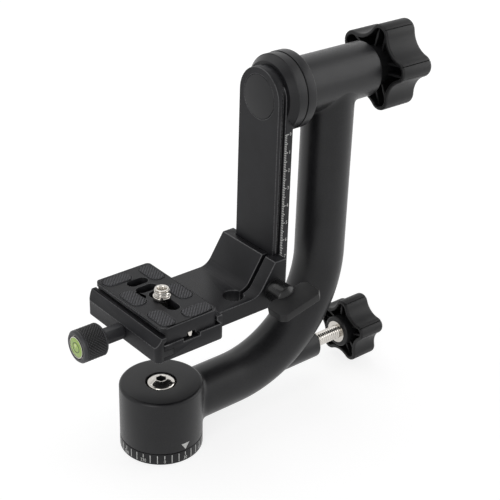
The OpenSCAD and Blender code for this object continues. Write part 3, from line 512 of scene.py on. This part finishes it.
def housing_fillet(size):
    """Blend of upright and housing: the corner is where the cylinders meet, z = axis -
    sqrt(R² - y²)."""
    x, y = TUBE_R * np.cos(RING), TUBE_R * np.sin(RING)
    corner = np.stack([REACH + x, y, TILT_Z - np.sqrt(HOUSING_R**2 - y**2)], -1)
    way = np.stack([x, HOUSING_R * np.arcsin(y / HOUSING_R)], -1)
    way = way * (1 + size / np.hypot(*way.T))[:, None]
    turn = way[:, 1] / HOUSING_R
    body = np.stack([REACH + way[:, 0], HOUSING_R * np.sin(turn),
                     TILT_Z - HOUSING_R * np.cos(turn)], -1)
    inside = corner + np.stack([-x * 0.1, -y * 0.1, 2 + 0 * x], -1)
    return blend(corner - np.array((0, 0, size)), corner, body, inside)


boss = rounded([(0, 67.1), (8.53, 67.1), (8.53, 108.5, 0.7), (5.0, 108.5, 0.3), (4.3, 107.9),
                (4.05, 92), (0, 92)], 4)
made("bent_tube", [bent_tube(), drum_fillet(3.2), housing_fillet(3.0)], powder_coat, "yoke",
     ["curved_arm"])
made("lock_boss", [turned(boss, (0, 0, TUBE_Z), "+x", 96)], powder_coat, "yoke")
housing = rounded([(9.02, 0.4), (16.3, 0.4), (16.3, 0), (20.5, 0, 0.25), (20.5, 5.6, 0.7),
                   (HOUSING_R, 5.6, 0.8), (HOUSING_R, 57.3, 1.2), (9.02, 57.3, 0.3)], 6, True)
made("tilt_housing_turned", [turned(housing, (COLLAR_X, 0, TILT_Z), "+x", 160, True)], powder_coat,
     "yoke", ["tilt_housing"])


# ---------------------------------------------------------------- knobs and the pan lock's thread


def lobed_knob(tip, lobe, valley, height, far_edge, hub, hub_out, bore, bore_len, first_lobe):
    """A hollow five-lobed knob. Round the axis each column lies on a lobe's arc or on the valley's
    arc that touches two lobes; drawn inwards by d its point is centre + (radius - sign d)
    direction. The rows go from the far face over its edge, down the wall, round the rim, up
    inside, and down the hub into its bore. Two fine notch lines run down the wall of each lobe,
    and two ribs tie each lobe to the hub."""
    step, half = TURN / 5, TURN / 10
    wall, floor, rim, disc_r, disc_deep, notch_deep = 2.2, 3.0, 1.1, 9.4, 0.5, 0.4
    lobe_at = tip - lobe
    valley_r = (lobe**2 - lobe_at**2 - valley**2 + 2 * lobe_at * valley * math.cos(half)) / (
        2 * (valley - lobe_at * math.cos(half) - lobe))
    valley_at = valley + valley_r
    touch = valley_at * np.array([math.cos(half), math.sin(half)]) - (lobe_at, 0)
    lean = math.atan2(touch[1], touch[0])
    line, slit = 0.5 * lean, 0.26 / lobe
    on_lobe = np.concatenate([
        np.linspace(-lean, -line - slit, 9), [-line], np.linspace(slit - line, line - slit, 21),
        [line], np.linspace(line + slit, lean, 9),
    ])
    on_line = np.isclose(np.abs(on_lobe), line)
    on_valley = np.linspace(lean + math.pi, 2 * half - lean + math.pi, 22)[1:-1]
    lobes, valleys = 0 * on_lobe * np.ones((5, 1)), 0 * on_valley * np.ones((5, 1))
    turns = np.arange(5)[:, None] * step

    def columns(of_lobes, of_valleys, width=1):
        """One row for each column of the grid, from five times the lobe's and the valley's."""
        return np.concatenate([of_lobes, of_valleys], 1).reshape(-1, width)

    centre = columns(polar(lobe_at, turns + lobes), polar(valley_at, turns + half + valleys), 2)
    radius = columns(lobe + lobes, valley_r + valleys)
    sign = columns(1 + lobes, -1 + valleys)
    facing = columns(polar(1, turns + on_lobe), polar(1, turns + on_valley), 2)
    notch = columns(notch_deep * on_line + lobes, valleys)
    outside = centre + radius * facing
    round_at = outside / np.linalg.norm(outside, axis=1, keepdims=True)

    def lobed(inset, h, cut=0):
        """A row at height h on the lobed outline, drawn inwards."""
        flat = centre + (radius - sign * (inset + cut)) * facing
        return np.concatenate([flat, 0 * sign + h], 1)

    def circle(r, h):
        """A round row at height h, with its points in the same directions."""
        return np.concatenate([r * round_at, 0 * sign + h], 1)

    bend = np.linspace(0, math.pi / 2, 8)
    rows = [circle(0, height - disc_deep), circle(disc_r - 0.4, height - disc_deep),
            circle(disc_r, height)]
    rows += [lobed(far_edge * (1 - math.sin(a)), height - far_edge * (1 - math.cos(a)), notch)
             for a in bend]
    rows += [lobed(0, height / 2, notch)]
    rows += [lobed(rim * (1 - math.cos(a)), rim * (1 - math.sin(a)), notch) for a in bend]
    rows += [lobed(wall - 0.4, 0), lobed(wall, 0.4), lobed(wall, height - floor - 0.8),
             lobed(wall + 0.8, height - floor)]
    rows += [circle(hub + 0.6, height - floor), circle(hub, height - floor - 0.6),
             circle(hub, 0.6 - hub_out), circle(hub - 0.6, -hub_out)]
    rows += [circle(bore, -hub_out), circle(bore, bore_len - hub_out),
             circle(0, bore_len - hub_out)]
    off, thick = lobe * 0.45, 0.6
    reach = lobe_at + math.sqrt((lobe - wall) ** 2 - off**2) + 0.6
    ribs = []
    for angle in first_lobe + np.arange(5) * step:
        for side in (-off, off):
            points, faces = blocks((hub - 1.5, side - thick, 2.4),
                                   (reach, side + thick, height - 2))
            ribs.append((points @ spin(angle), faces))
    return [woven(np.stack(rows) @ spin(first_lobe))] + ribs


def knob(name, node, origin, **sizes):
    """A lobed knob set on its axis along +X."""
    solids = [moved(solid, lambda p: carried(p, origin, "+x")) for solid in lobed_knob(**sizes)]
    made(name, solids, moulded, body_of[node], [node], 28)


knob("tilt_knob_hollow", "tilt_knob", (140.4, 0, TILT_Z), tip=24.6, lobe=6.3, valley=17.9,
     height=22.8, far_edge=3.0, hub=11.0, hub_out=4.3, bore=8.02, bore_len=20.3,
     first_lobe=math.radians(30.5))
knob("pan_knob_hollow", "pan_knob", (131.6, 0, TUBE_Z), tip=19.4, lobe=5.0, valley=14.1,
     height=18.2, far_edge=2.4, hub=9.2, hub_out=3.1, bore=6.62, bore_len=12.0,
     first_lobe=math.radians(89.5))

lock_bar = np.concatenate([
    [(0, 13.1), (3.5, 13.1), (3.5, 95.6), (3.97, 96)],
    bar_rows(3.97, 104, 134, 0.2),
    [(3.97, 139.5), (3.6, 139.9), (0, 139.9)],
])
lock_thread = thread(depth=0.5, pitch=1.5, start=106, end=132, fade=1)
made("pan_lock_thread", [turned(lock_bar, (0, 0, TUBE_Z), "+x", 48, relief=lock_thread)], nickel,
     "pan_lock", ["pan_lock_rod"], 50)


# ---------------------------------------------------------------- swing arm and platform

ring_profile = rounded([(10.52, 0), (17.1, 0, 0.2), (19.75, 3.6, 0.2), (20.2, 3.9),
                        (20.2, 9.3, 0.3), (7.02, 9.3), (7.02, 3.1), (10.52, 3.1)], 4, True)
made("tilt_ring_turned", [turned(ring_profile, (67.6, 0, TILT_Z), "+x", 160, True)], turned_black,
     "swing", ["tilt_ring"])
cap = rounded([(0, 1.8), (11.72, 1.8), (11.72, 0.3, 0.1), (11.4, 0, 0.05), (0, 0)], 2)
made("arm_cap_turned", [turned(cap, (61.6, 0, TILT_Z), "+x", 128)], turned_black, "swing",
     ["arm_cap"])

# Round the jaw's tongue the edges stay sharp, so that its gap shows as a thin black line
TONGUE_JOINT = ((-20.4, -32, 74.7), (-14.2, 32, 83.8))
edged("swing_arm", 0.3)
edged("platform", 0.4, sharp_within=TONGUE_JOINT)
edged("clamp_jaw", 0.3, sharp_within=TONGUE_JOINT)
edged("qr_plate", 0.2, even=False)

T_HANDLE_AT = (57.2, -23.4, 85.3)


def wing():
    """The T-handle's bar: its outline, a rectangle with cut corners, drawn inwards along its
    normals by e (1 - sin t) while the height rises by e (1 - cos t), on both faces; it is leant
    13 degrees on its hub."""
    half_len, deep, cut, r = 13.75, 14.5, 2.5, 0.8
    edge, thick, above_hub, lean = 0.6, 4.8, 8.1, math.radians(13)
    outline = rounded([(-half_len, cut, r), (cut - half_len, 0, r), (half_len - cut, 0, r),
                       (half_len, cut, r), (half_len, deep - cut, r), (half_len - cut, deep, r),
                       (cut - half_len, deep, r), (-half_len, deep - cut, r)], 3, True)
    way = np.roll(outline, -1, 0) - np.roll(outline, 1, 0)
    inward = np.stack([-way[:, 1], way[:, 0]], -1) / np.hypot(*way.T)[:, None]
    t = np.linspace(0, math.pi / 2, 6)
    inset = np.concatenate([[half_len], edge * (1 - np.sin(t)), edge * (1 - np.sin(t[::-1])),
                            [half_len]])
    rise = np.concatenate([[0], edge * (1 - np.cos(t)), thick - edge * (1 - np.cos(t[::-1])),
                           [thick]]) - thick / 2
    flat = outline[None] + inward[None] * inset[:, None, None]
    flat[[0, -1]] = (0, deep / 2)
    a = flat[..., 0] * math.cos(lean) - rise[:, None] * math.sin(lean)
    b = flat[..., 0] * math.sin(lean) + rise[:, None] * math.cos(lean)
    return woven(carried(np.stack([a, b, flat[..., 1] + above_hub], -1), T_HANDLE_AT, "-y"))


# The hub ends in a ball's cap, r = sqrt(ball² - (h - c)²), about 3 mm high
BALL, HUB_TOP = 8.115, 12.6
dome_r = np.linspace(6.1, 0, 12)
hub = np.concatenate([rounded([(0, 8.1), (2.92, 8.1), (2.92, 0), (6.3, 0, 0.3), (6.3, 9.5)], 3),
                      np.stack([dome_r, HUB_TOP - BALL + np.sqrt(BALL**2 - dome_r**2)], -1)])
made("t_handle_hub", [turned(hub, T_HANDLE_AT, "-y", 96)], moulded_bright, body_of["t_handle"],
     ["t_handle"], 40)
made("t_handle_wing", [wing()], moulded, body_of["t_handle"], crease=40)


# ---------------------------------------------------------------- printed scales


def numerals(text, height, condense):
    """Figures 0.1 thick with their middle at the origin, as a closed solid of that height, their
    width times condense."""
    curve = bpy.data.curves.new("figures", "FONT")
    curve.body, curve.size, curve.extrude, curve.resolution_u = text, 1.0, 0.05, 2
    thing = bpy.data.objects.new("figures", curve)
    bpy.context.scene.collection.objects.link(thing)
    placed = thing.evaluated_get(bpy.context.evaluated_depsgraph_get())
    mesh = bpy.data.meshes.new_from_object(placed)
    flat = np.empty(len(mesh.vertices) * 3)
    mesh.vertices.foreach_get("co", flat)
    flat = flat.reshape(-1, 3)
    low, high = flat.min(0), flat.max(0)
    scale = height / (high[1] - low[1])
    faces = [list(p.vertices) for p in mesh.polygons]
    bpy.data.objects.remove(thing)
    bpy.data.curves.remove(curve)
    bpy.data.meshes.remove(mesh)
    return (flat - (low + high) / 2) * (scale * condense, scale, 1), faces


def on_drum(start):
    """Wraps (x, y, z) round the drum: angle start + x / R, height y, radius R + z."""
    return lambda p: around(DRUM_R + p[:, 2], start + p[:, 0] / DRUM_R, p[:, 1])


def dial_print():
    """A tick every 10 degrees; every 30 degrees a half tick over its figure."""
    zero, half_wide, half_thick, top = -121.3, 0.22, 0.04, 5.9
    solids = []
    for value in range(0, 360, 10):
        at = on_drum(math.radians(value + zero))
        low = 3.7 if value % 30 == 0 else 1.0
        tick = blocks((-half_wide, low, -half_thick), (half_wide, top, half_thick))
        solids.append(moved(tick, at))
        if value % 30 == 0:
            points, faces = numerals(str(value), 2.2, 0.72)
            solids.append(moved((points * (1, 1, 0.8) + (0, 2.1, 0), faces), at))
    return solids


def pointer():
    """A three-sided mark, its tip down, wrapped on the drum: a ring of rows that grow in width
    from the tip, lie 0.04 below the drum's skin and come back 0.05 above it; and its upper end."""
    at, tip_z, tall_mm, half_wide = -91.25, 7.5, 3.8, 2.45
    tall = np.linspace(0, 1, 9)[:, None]
    wide = np.linspace(-1, 1, 17)[None]
    under, over = (np.stack([half_wide * tall * wide, tip_z + tall_mm * tall + 0 * wide,
                             0 * tall * wide + z], -1) for z in (-0.04, 0.05))
    skins = [woven(np.concatenate([under, over[:, ::-1]], 1)),
             woven(np.concatenate([under[-1:], over[-1:]]), ring_columns=False)]
    return [moved(skin, on_drum(math.radians(at))) for skin in skins]


def ruler_print():
    """A tick every millimetre down the rail's side, longer every 5 and 10, and a figure every
    10."""
    zero_z, side_y, start_x, half_thick, half_wide = 168.1, -15.4, 66.8, 0.05, 0.2
    mm = np.arange(0, 88)
    z = zero_z - mm
    end_x = np.where(mm % 10 == 0, 69.1, np.where(mm % 5 == 0, 68.7, 68.05))
    low = np.stack([start_x + 0 * z, side_y - half_thick + 0 * z, z - half_wide], -1)
    high = np.stack([end_x, side_y + half_thick + 0 * z, z + half_wide], -1)
    solids = [blocks(low, high)]
    for value in range(9):
        points, faces = numerals(str(value), 1.9, 0.85)
        place = points[:, [0, 2, 1]] * (1, -1, 1) + (70.35, side_y, zero_z - 10 * value)
        solids.append((place, faces))
    return solids


made("dial_scale", dial_print(), ink, "base", crease=20)
made("pan_pointer", pointer(), ink, "yoke", crease=20)
made("arm_ruler", ruler_print(), ink, "swing", crease=20)


# ---------------------------------------------------------------- plate, pads and stud

PLATE_X, PLATE_TOP, STUD_Y = -3.1, 92.8, -5.5
# Middle of each pad on the plate, and its turn in degrees
PADS = ((-7.4, 24.1, 0), (7.4, -24.6, 0), (-11.4, -20.8, 90), (-11.4, 3.5, 90), (11.5, -4.6, 90),
        (11.5, 19.4, 90))


def pad(x, y, turn):
    """A rubber pad's lid and floor, and the depth of their points. At v along its width its half
    length is L/2 - r + sqrt(r² - d²), where d is how far v is past the straight side. Its top has
    a groove round the rim and a field of ridges, |sin| in two slanted directions, that fades out
    over the last 0.5 mm. The ridges are 1.3 mm apart: the real 1 mm is too fine to show."""
    length, width, r, base, top = 16.3, 8.7, 4.0, -0.7, 0.35
    hatch, hatch_deep = 1.9, 0.3
    v = np.sin(np.linspace(-0.5, 0.5, 66) * math.pi)[:, None] * width / 2
    past = np.clip(np.abs(v) - (width / 2 - r), 0, r)
    reach = length / 2 - r + np.sqrt(r**2 - past**2)
    u = np.linspace(-1, 1, 120)[None, :]
    px, py = reach * u, v + 0 * u
    edge = np.minimum(reach * (1 - np.abs(u)), width / 2 - np.abs(v))
    field = np.clip(edge / 0.5, 0, 1)
    c, s = math.cos(math.radians(turn)), math.sin(math.radians(turn))
    gx, gy = PLATE_X + x + px * c - py * s, y + px * s + py * c
    ridges = np.minimum(*(np.abs(np.sin(g * math.pi / hatch)) for g in (gx + gy, gx - gy)))
    ridges = np.clip((ridges - 0.15) / 0.4, 0, 1)
    rim = 0.12 * np.clip(1 - np.abs(edge - 0.45) / 0.3, 0, 1)
    z = base + (top - base) * np.clip(edge / 0.15, 0, 1) ** 0.5
    z = z - rim + hatch_deep * (ridges - 1) * field
    # Depth is 1 in the hatch's grooves and in a band along the outline, where the material paints
    # shade.
    deep = np.maximum((1 - ridges) * field, np.clip(1 - np.abs(edge - 0.25) / 0.25, 0, 1))

    def to_plate(p):
        """Turns the pad and sets it in its pocket."""
        return p @ spin(math.radians(turn)) + (PLATE_X + x, y, PLATE_TOP)

    skins = [woven(np.stack([px, py, h], -1), ring_columns=False) for h in (z, 0 * z + base)]
    return [moved(skin, to_plate) for skin in skins], np.stack([deep, 0 * deep])


for number, place in enumerate(PADS, 1):
    skins, deep = pad(*place)
    made(f"plate_pad_{number}_ribbed", skins, pad_rubber, "plate", [f"plate_pad_{number}"],
         40, deep)


def stud():
    """Hollow stud: flange, neck, two crests of thread, a lip, and down inside. The flange has a
    notch where the angle lies within 0.7 mm of the camera's side."""
    flange_r, neck_r, half_notch, notch_at = 4.6, 3.5, 0.7, math.radians(-125.7)
    crests = thread(depth=0.55, pitch=1.4, start=2.0, end=4.9, fade=0.5)

    def relief(a, r, h):
        side = np.abs((a - notch_at + math.pi) % TURN - math.pi) * flange_r
        slot = np.where((side < half_notch) & (h < 1.9) & (r > neck_r), r - neck_r, 0)
        return slot + crests(a, r, h) * (h > 1.9) * (h < 5)

    profile = np.concatenate([
        rounded([(2.32, 0), (flange_r, 0, 0.3), (flange_r, 1.7, 0.3), (3.6, 1.7)], 3),
        [(3.6, 1.95)],
        bar_rows(3.9, 2.0, 4.95, 0.1),
        rounded([(3.5, 5.0), (3.75, 5.8, 0.25), (2.7, 5.8, 0.2), (2.32, 5.3), (2.32, 0.1)], 3),
    ])
    return turned(profile, (PLATE_X, STUD_Y, 93.3), "+z", 180, True, relief)


made("camera_stud_plated", [stud()], nickel, "camera_screw", ["camera_bushing"], 45)
stop = rounded([(0, -1.1), (1.6, -1.1, 0.3), (1.6, 1.7, 0.2), (1.1, 1.7), (1.1, 4.7), (0, 4.7)], 3)
for node, stop_y in (("plate_stop_screw_1", -28.4), ("plate_stop_screw_2", 28.4)):
    made(node + "_turned", [turned(stop, (PLATE_X, stop_y, 83.95), "+z", 48)], nickel, "plate",
         [node], 40)


# ---------------------------------------------------------------- clamp knob and level

GRIP_AT, GRIP_R, NECK_R, GRIP_SIDES = (-51.0, 0, 79.2), 8.6, 4.3, 336
KNURLS, KNURL_DEEP, KNURL_FROM, KNURL_TO = 32, 0.45, 2.3, 12.8


def knurl(a, r, h):
    """Relief of a diamond knurl, two families of slanted grooves on the grip's round alone, and of
    the groove behind its front ring. The real pitch of about 1.2 mm is drawn as 1.7 mm, so that it
    shows in the render."""
    pitch = TURN * GRIP_R / KNURLS
    slants = (KNURLS * a / TURN + h / pitch, KNURLS * a / TURN - h / pitch)
    cuts = np.maximum(*(np.clip(1.2 - np.abs((t % 1) - 0.5) * 4, 0, 1) for t in slants))
    run = np.clip((h - KNURL_FROM) / 0.3, 0, 1) * np.clip((KNURL_TO - h) / 0.3, 0, 1)
    ring = np.clip(1 - np.abs(h - 1.9) / 0.35, 0, 1)
    return KNURL_DEEP * np.maximum(cuts * run, ring) * (r > 8.3)


def knurl_and_flats(a, r, h):
    """The grip's knurl, and six shallow flats on its neck."""
    start = 15.6
    flat = np.clip(NECK_R - hexagon(a, 3.76), 0, 1) * np.clip((h - start) / 0.5, 0, 1)
    return knurl(a, r, h) + np.where((h > start) & (r > 4), flat, 0)


grip = np.concatenate([
    rounded([(6.32, 5), (6.32, 0.95), (6.25, 0.95), (6.25, 0, 0.1), (7.7, 0, 0.2),
             (GRIP_R, 0.9, 0.2), (GRIP_R, 1.15)], 3),
    bar_rows(GRIP_R, 1.2, 12.8, 0.13),
    rounded([(GRIP_R, 12.85), (GRIP_R, 13.1, 0.2), (7.7, 14, 0.2), (5.2, 14), (5.2, 15.2, 0.3),
             (NECK_R, 15.4), (NECK_R, 26.3, 0.3), (3.1, 26.3), (3.1, 7.5), (0, 7.5), (0, 5)], 3),
])
turn_at, h_at = np.meshgrid(np.arange(GRIP_SIDES) * TURN / GRIP_SIDES, grip[:, 1])
# How deep each point lies in the knurl; the knurled material paints shade into the grooves by it.
grip_depth = 0.3 + 0.7 * knurl(turn_at, grip[:, :1] + 0 * turn_at, h_at) / KNURL_DEEP
made("clamp_knob_knurled", [turned(grip, GRIP_AT, "+x", GRIP_SIDES, False, knurl_and_flats)],
     knurled, "clamp_turn", ["clamp_knob"], 35, grip_depth)
cup = rounded([(5.32, -0.15), (5.7, -0.15), (5.7, 0.95), (6.28, 0.95), (6.28, 5), (0, 5), (0, 4),
               (5.32, 4)])
made("level_cup_polished", [turned(cup, GRIP_AT, "+x", 96, True)], nickel, "clamp_turn",
     ["level_cup"])
vial = np.concatenate([[(0, 4), (5.3, 4), (5.3, 0.1)], dome_rows(5.3, 0.1, 0.3, 0.1, 10),
                       [(0, -0.2)]])
made("level_vial", [turned(vial, GRIP_AT, "+x", 96)], spirit, "clamp_turn",
     ["level_liquid", "level_lens"])
ring_mark = rounded([(2.5, -0.23), (2.85, -0.23), (2.85, 0.27), (2.5, 0.27)], 2, True)
made("level_ring_mark", [turned(ring_mark, GRIP_AT, "+x", 96, True)], ring_ink, "clamp_turn")
drop = np.concatenate([[(0, 0.4), (1.7, 0.4)], dome_rows(1.7, -0.06, 0.16, 0, 8), [(0, -0.22)]])
bubble_at = np.add(GRIP_AT, (0, 0.5, 0.8))
made("level_bubble", [turned(drop, bubble_at, "+x", 64)], bubble, "clamp_turn")


# ---------------------------------------------------------------- floor, light and camera


def camera_at(place, yaw, pitch, roll, lens):
    """The photograph's camera: yaw from -Y about Z, pitch down and roll, in degrees, and a lens in
    millimetres."""
    a, e, r = (math.radians(v) for v in (yaw, pitch, roll))
    back = Vector((math.sin(a) * math.cos(e), -math.cos(a) * math.cos(e), math.sin(e)))
    level = (-back).cross(Vector((0, 0, 1))).normalized()
    upward = level.cross(-back)
    right = math.cos(r) * level + math.sin(r) * upward
    upward = -math.sin(r) * level + math.cos(r) * upward
    camera = bpy.data.objects.new("camera", bpy.data.cameras.new("camera"))
    camera.data.lens, camera.data.sensor_width = lens, 36
    camera.data.clip_start, camera.data.clip_end = 0.01, 20
    turn = Matrix((right, upward, back)).transposed()
    camera.matrix_world = Matrix.Translation(place) @ turn.to_4x4()
    bpy.context.scene.collection.objects.link(camera)
    bpy.context.scene.camera = camera


def lamp(name, place, size, watts):
    """A square softbox: an area lamp at a place in metres, turned to the head's middle."""
    aim = Vector((0.05, 0, 0.1))
    light = bpy.data.lights.new(name, "AREA")
    light.shape, light.size, light.energy = "SQUARE", size, watts
    box = bpy.data.objects.new(name, light)
    box.location = place
    box.rotation_mode = "QUATERNION"
    box.rotation_quaternion = (aim - Vector(place)).to_track_quat("-Z", "Y")
    bpy.context.scene.collection.objects.link(box)


def shows_background(tree):
    """1 on rays from the camera, from gloss and through glass: they see the background white."""
    ray = add(tree, "LightPath").outputs
    two = add(tree, "Math", {0: ray["Is Camera Ray"], 1: ray["Is Glossy Ray"]},
              operation="MAXIMUM")
    three = add(tree, "Math", {0: two.outputs[0], 1: ray["Is Transmission Ray"]},
                operation="MAXIMUM")
    return three.outputs[0]


def paper_floor():
    """A pale floor, white to the camera and to mirrors, that keeps the shadow: a grey diffuse part
    takes the shadow, and a glow that grows with the distance brings it up to white."""
    material, tree, shader, where = new_material("paper_floor_white")
    shader.inputs["Base Color"].default_value = colour("f2f2f2")
    shader.inputs["Roughness"].default_value = 0.9
    paper = add(tree, "BsdfDiffuse", {"Color": colour("a0a0a0")})
    away = add(tree, "VectorMath", {0: where}, operation="LENGTH")
    strength = add(tree, "MapRange", {"Value": away.outputs["Value"], "From Min": 0.3,
                                      "From Max": 1.5, "To Min": 0.8, "To Max": 1.0})
    lit = add(tree, "Emission", {"Color": (1, 1, 1, 1), "Strength": strength.outputs[0]})
    white = add(tree, "AddShader", {0: paper.outputs[0], 1: lit.outputs[0]})
    both = add(tree, "MixShader", {0: shows_background(tree), 1: shader.outputs[0],
                                   2: white.outputs[0]})
    tree.links.new(both.outputs[0], tree.nodes["Material Output"].inputs["Surface"])
    bpy.ops.mesh.primitive_plane_add(size=8, location=(0, 0, -0.0002))
    floor = bpy.context.object
    floor.name = "floor"
    floor.data.materials.append(material)


def pale_sky():
    """A pale even sky, white to the camera and to mirrors, and darkened overhead."""
    sky = bpy.data.worlds.new("studio")
    bpy.context.scene.world = sky
    sky.use_nodes = True
    tree = sky.node_tree
    tree.nodes.clear()
    level = add(tree, "MapRange", {"Value": shows_background(tree), "To Min": 0.3, "To Max": 1.0})
    up = add(tree, "SeparateXYZ", {0: add(tree, "TexCoord").outputs["Generated"]})
    dark = add(tree, "MapRange", {"Value": up.outputs["Z"], "From Min": 0.55, "From Max": 0.9,
                                  "To Min": 1.0, "To Max": 0.12})
    both = add(tree, "Math", {0: level.outputs[0], 1: dark.outputs[0]}, operation="MULTIPLY")
    glow = add(tree, "Background", {"Color": (1, 1, 1, 1), "Strength": both.outputs[0]})
    add(tree, "OutputWorld", {"Surface": glow.outputs[0]})


camera_at((-0.31517, -0.44011, 0.40824), yaw=-40.37, pitch=28.2, roll=1.84, lens=88.18)
lamp("softbox_right", (1.1, -0.5, 0.6), size=1.0, watts=4.5)
lamp("softbox_left", (-0.95, -0.5, 0.5), size=0.6, watts=3)
lamp("softbox_top", (0.05, 0.3, 1.1), size=1.2, watts=6)
paper_floor()
pale_sky()
bpy.context.scene.view_settings.view_transform = "Standard"
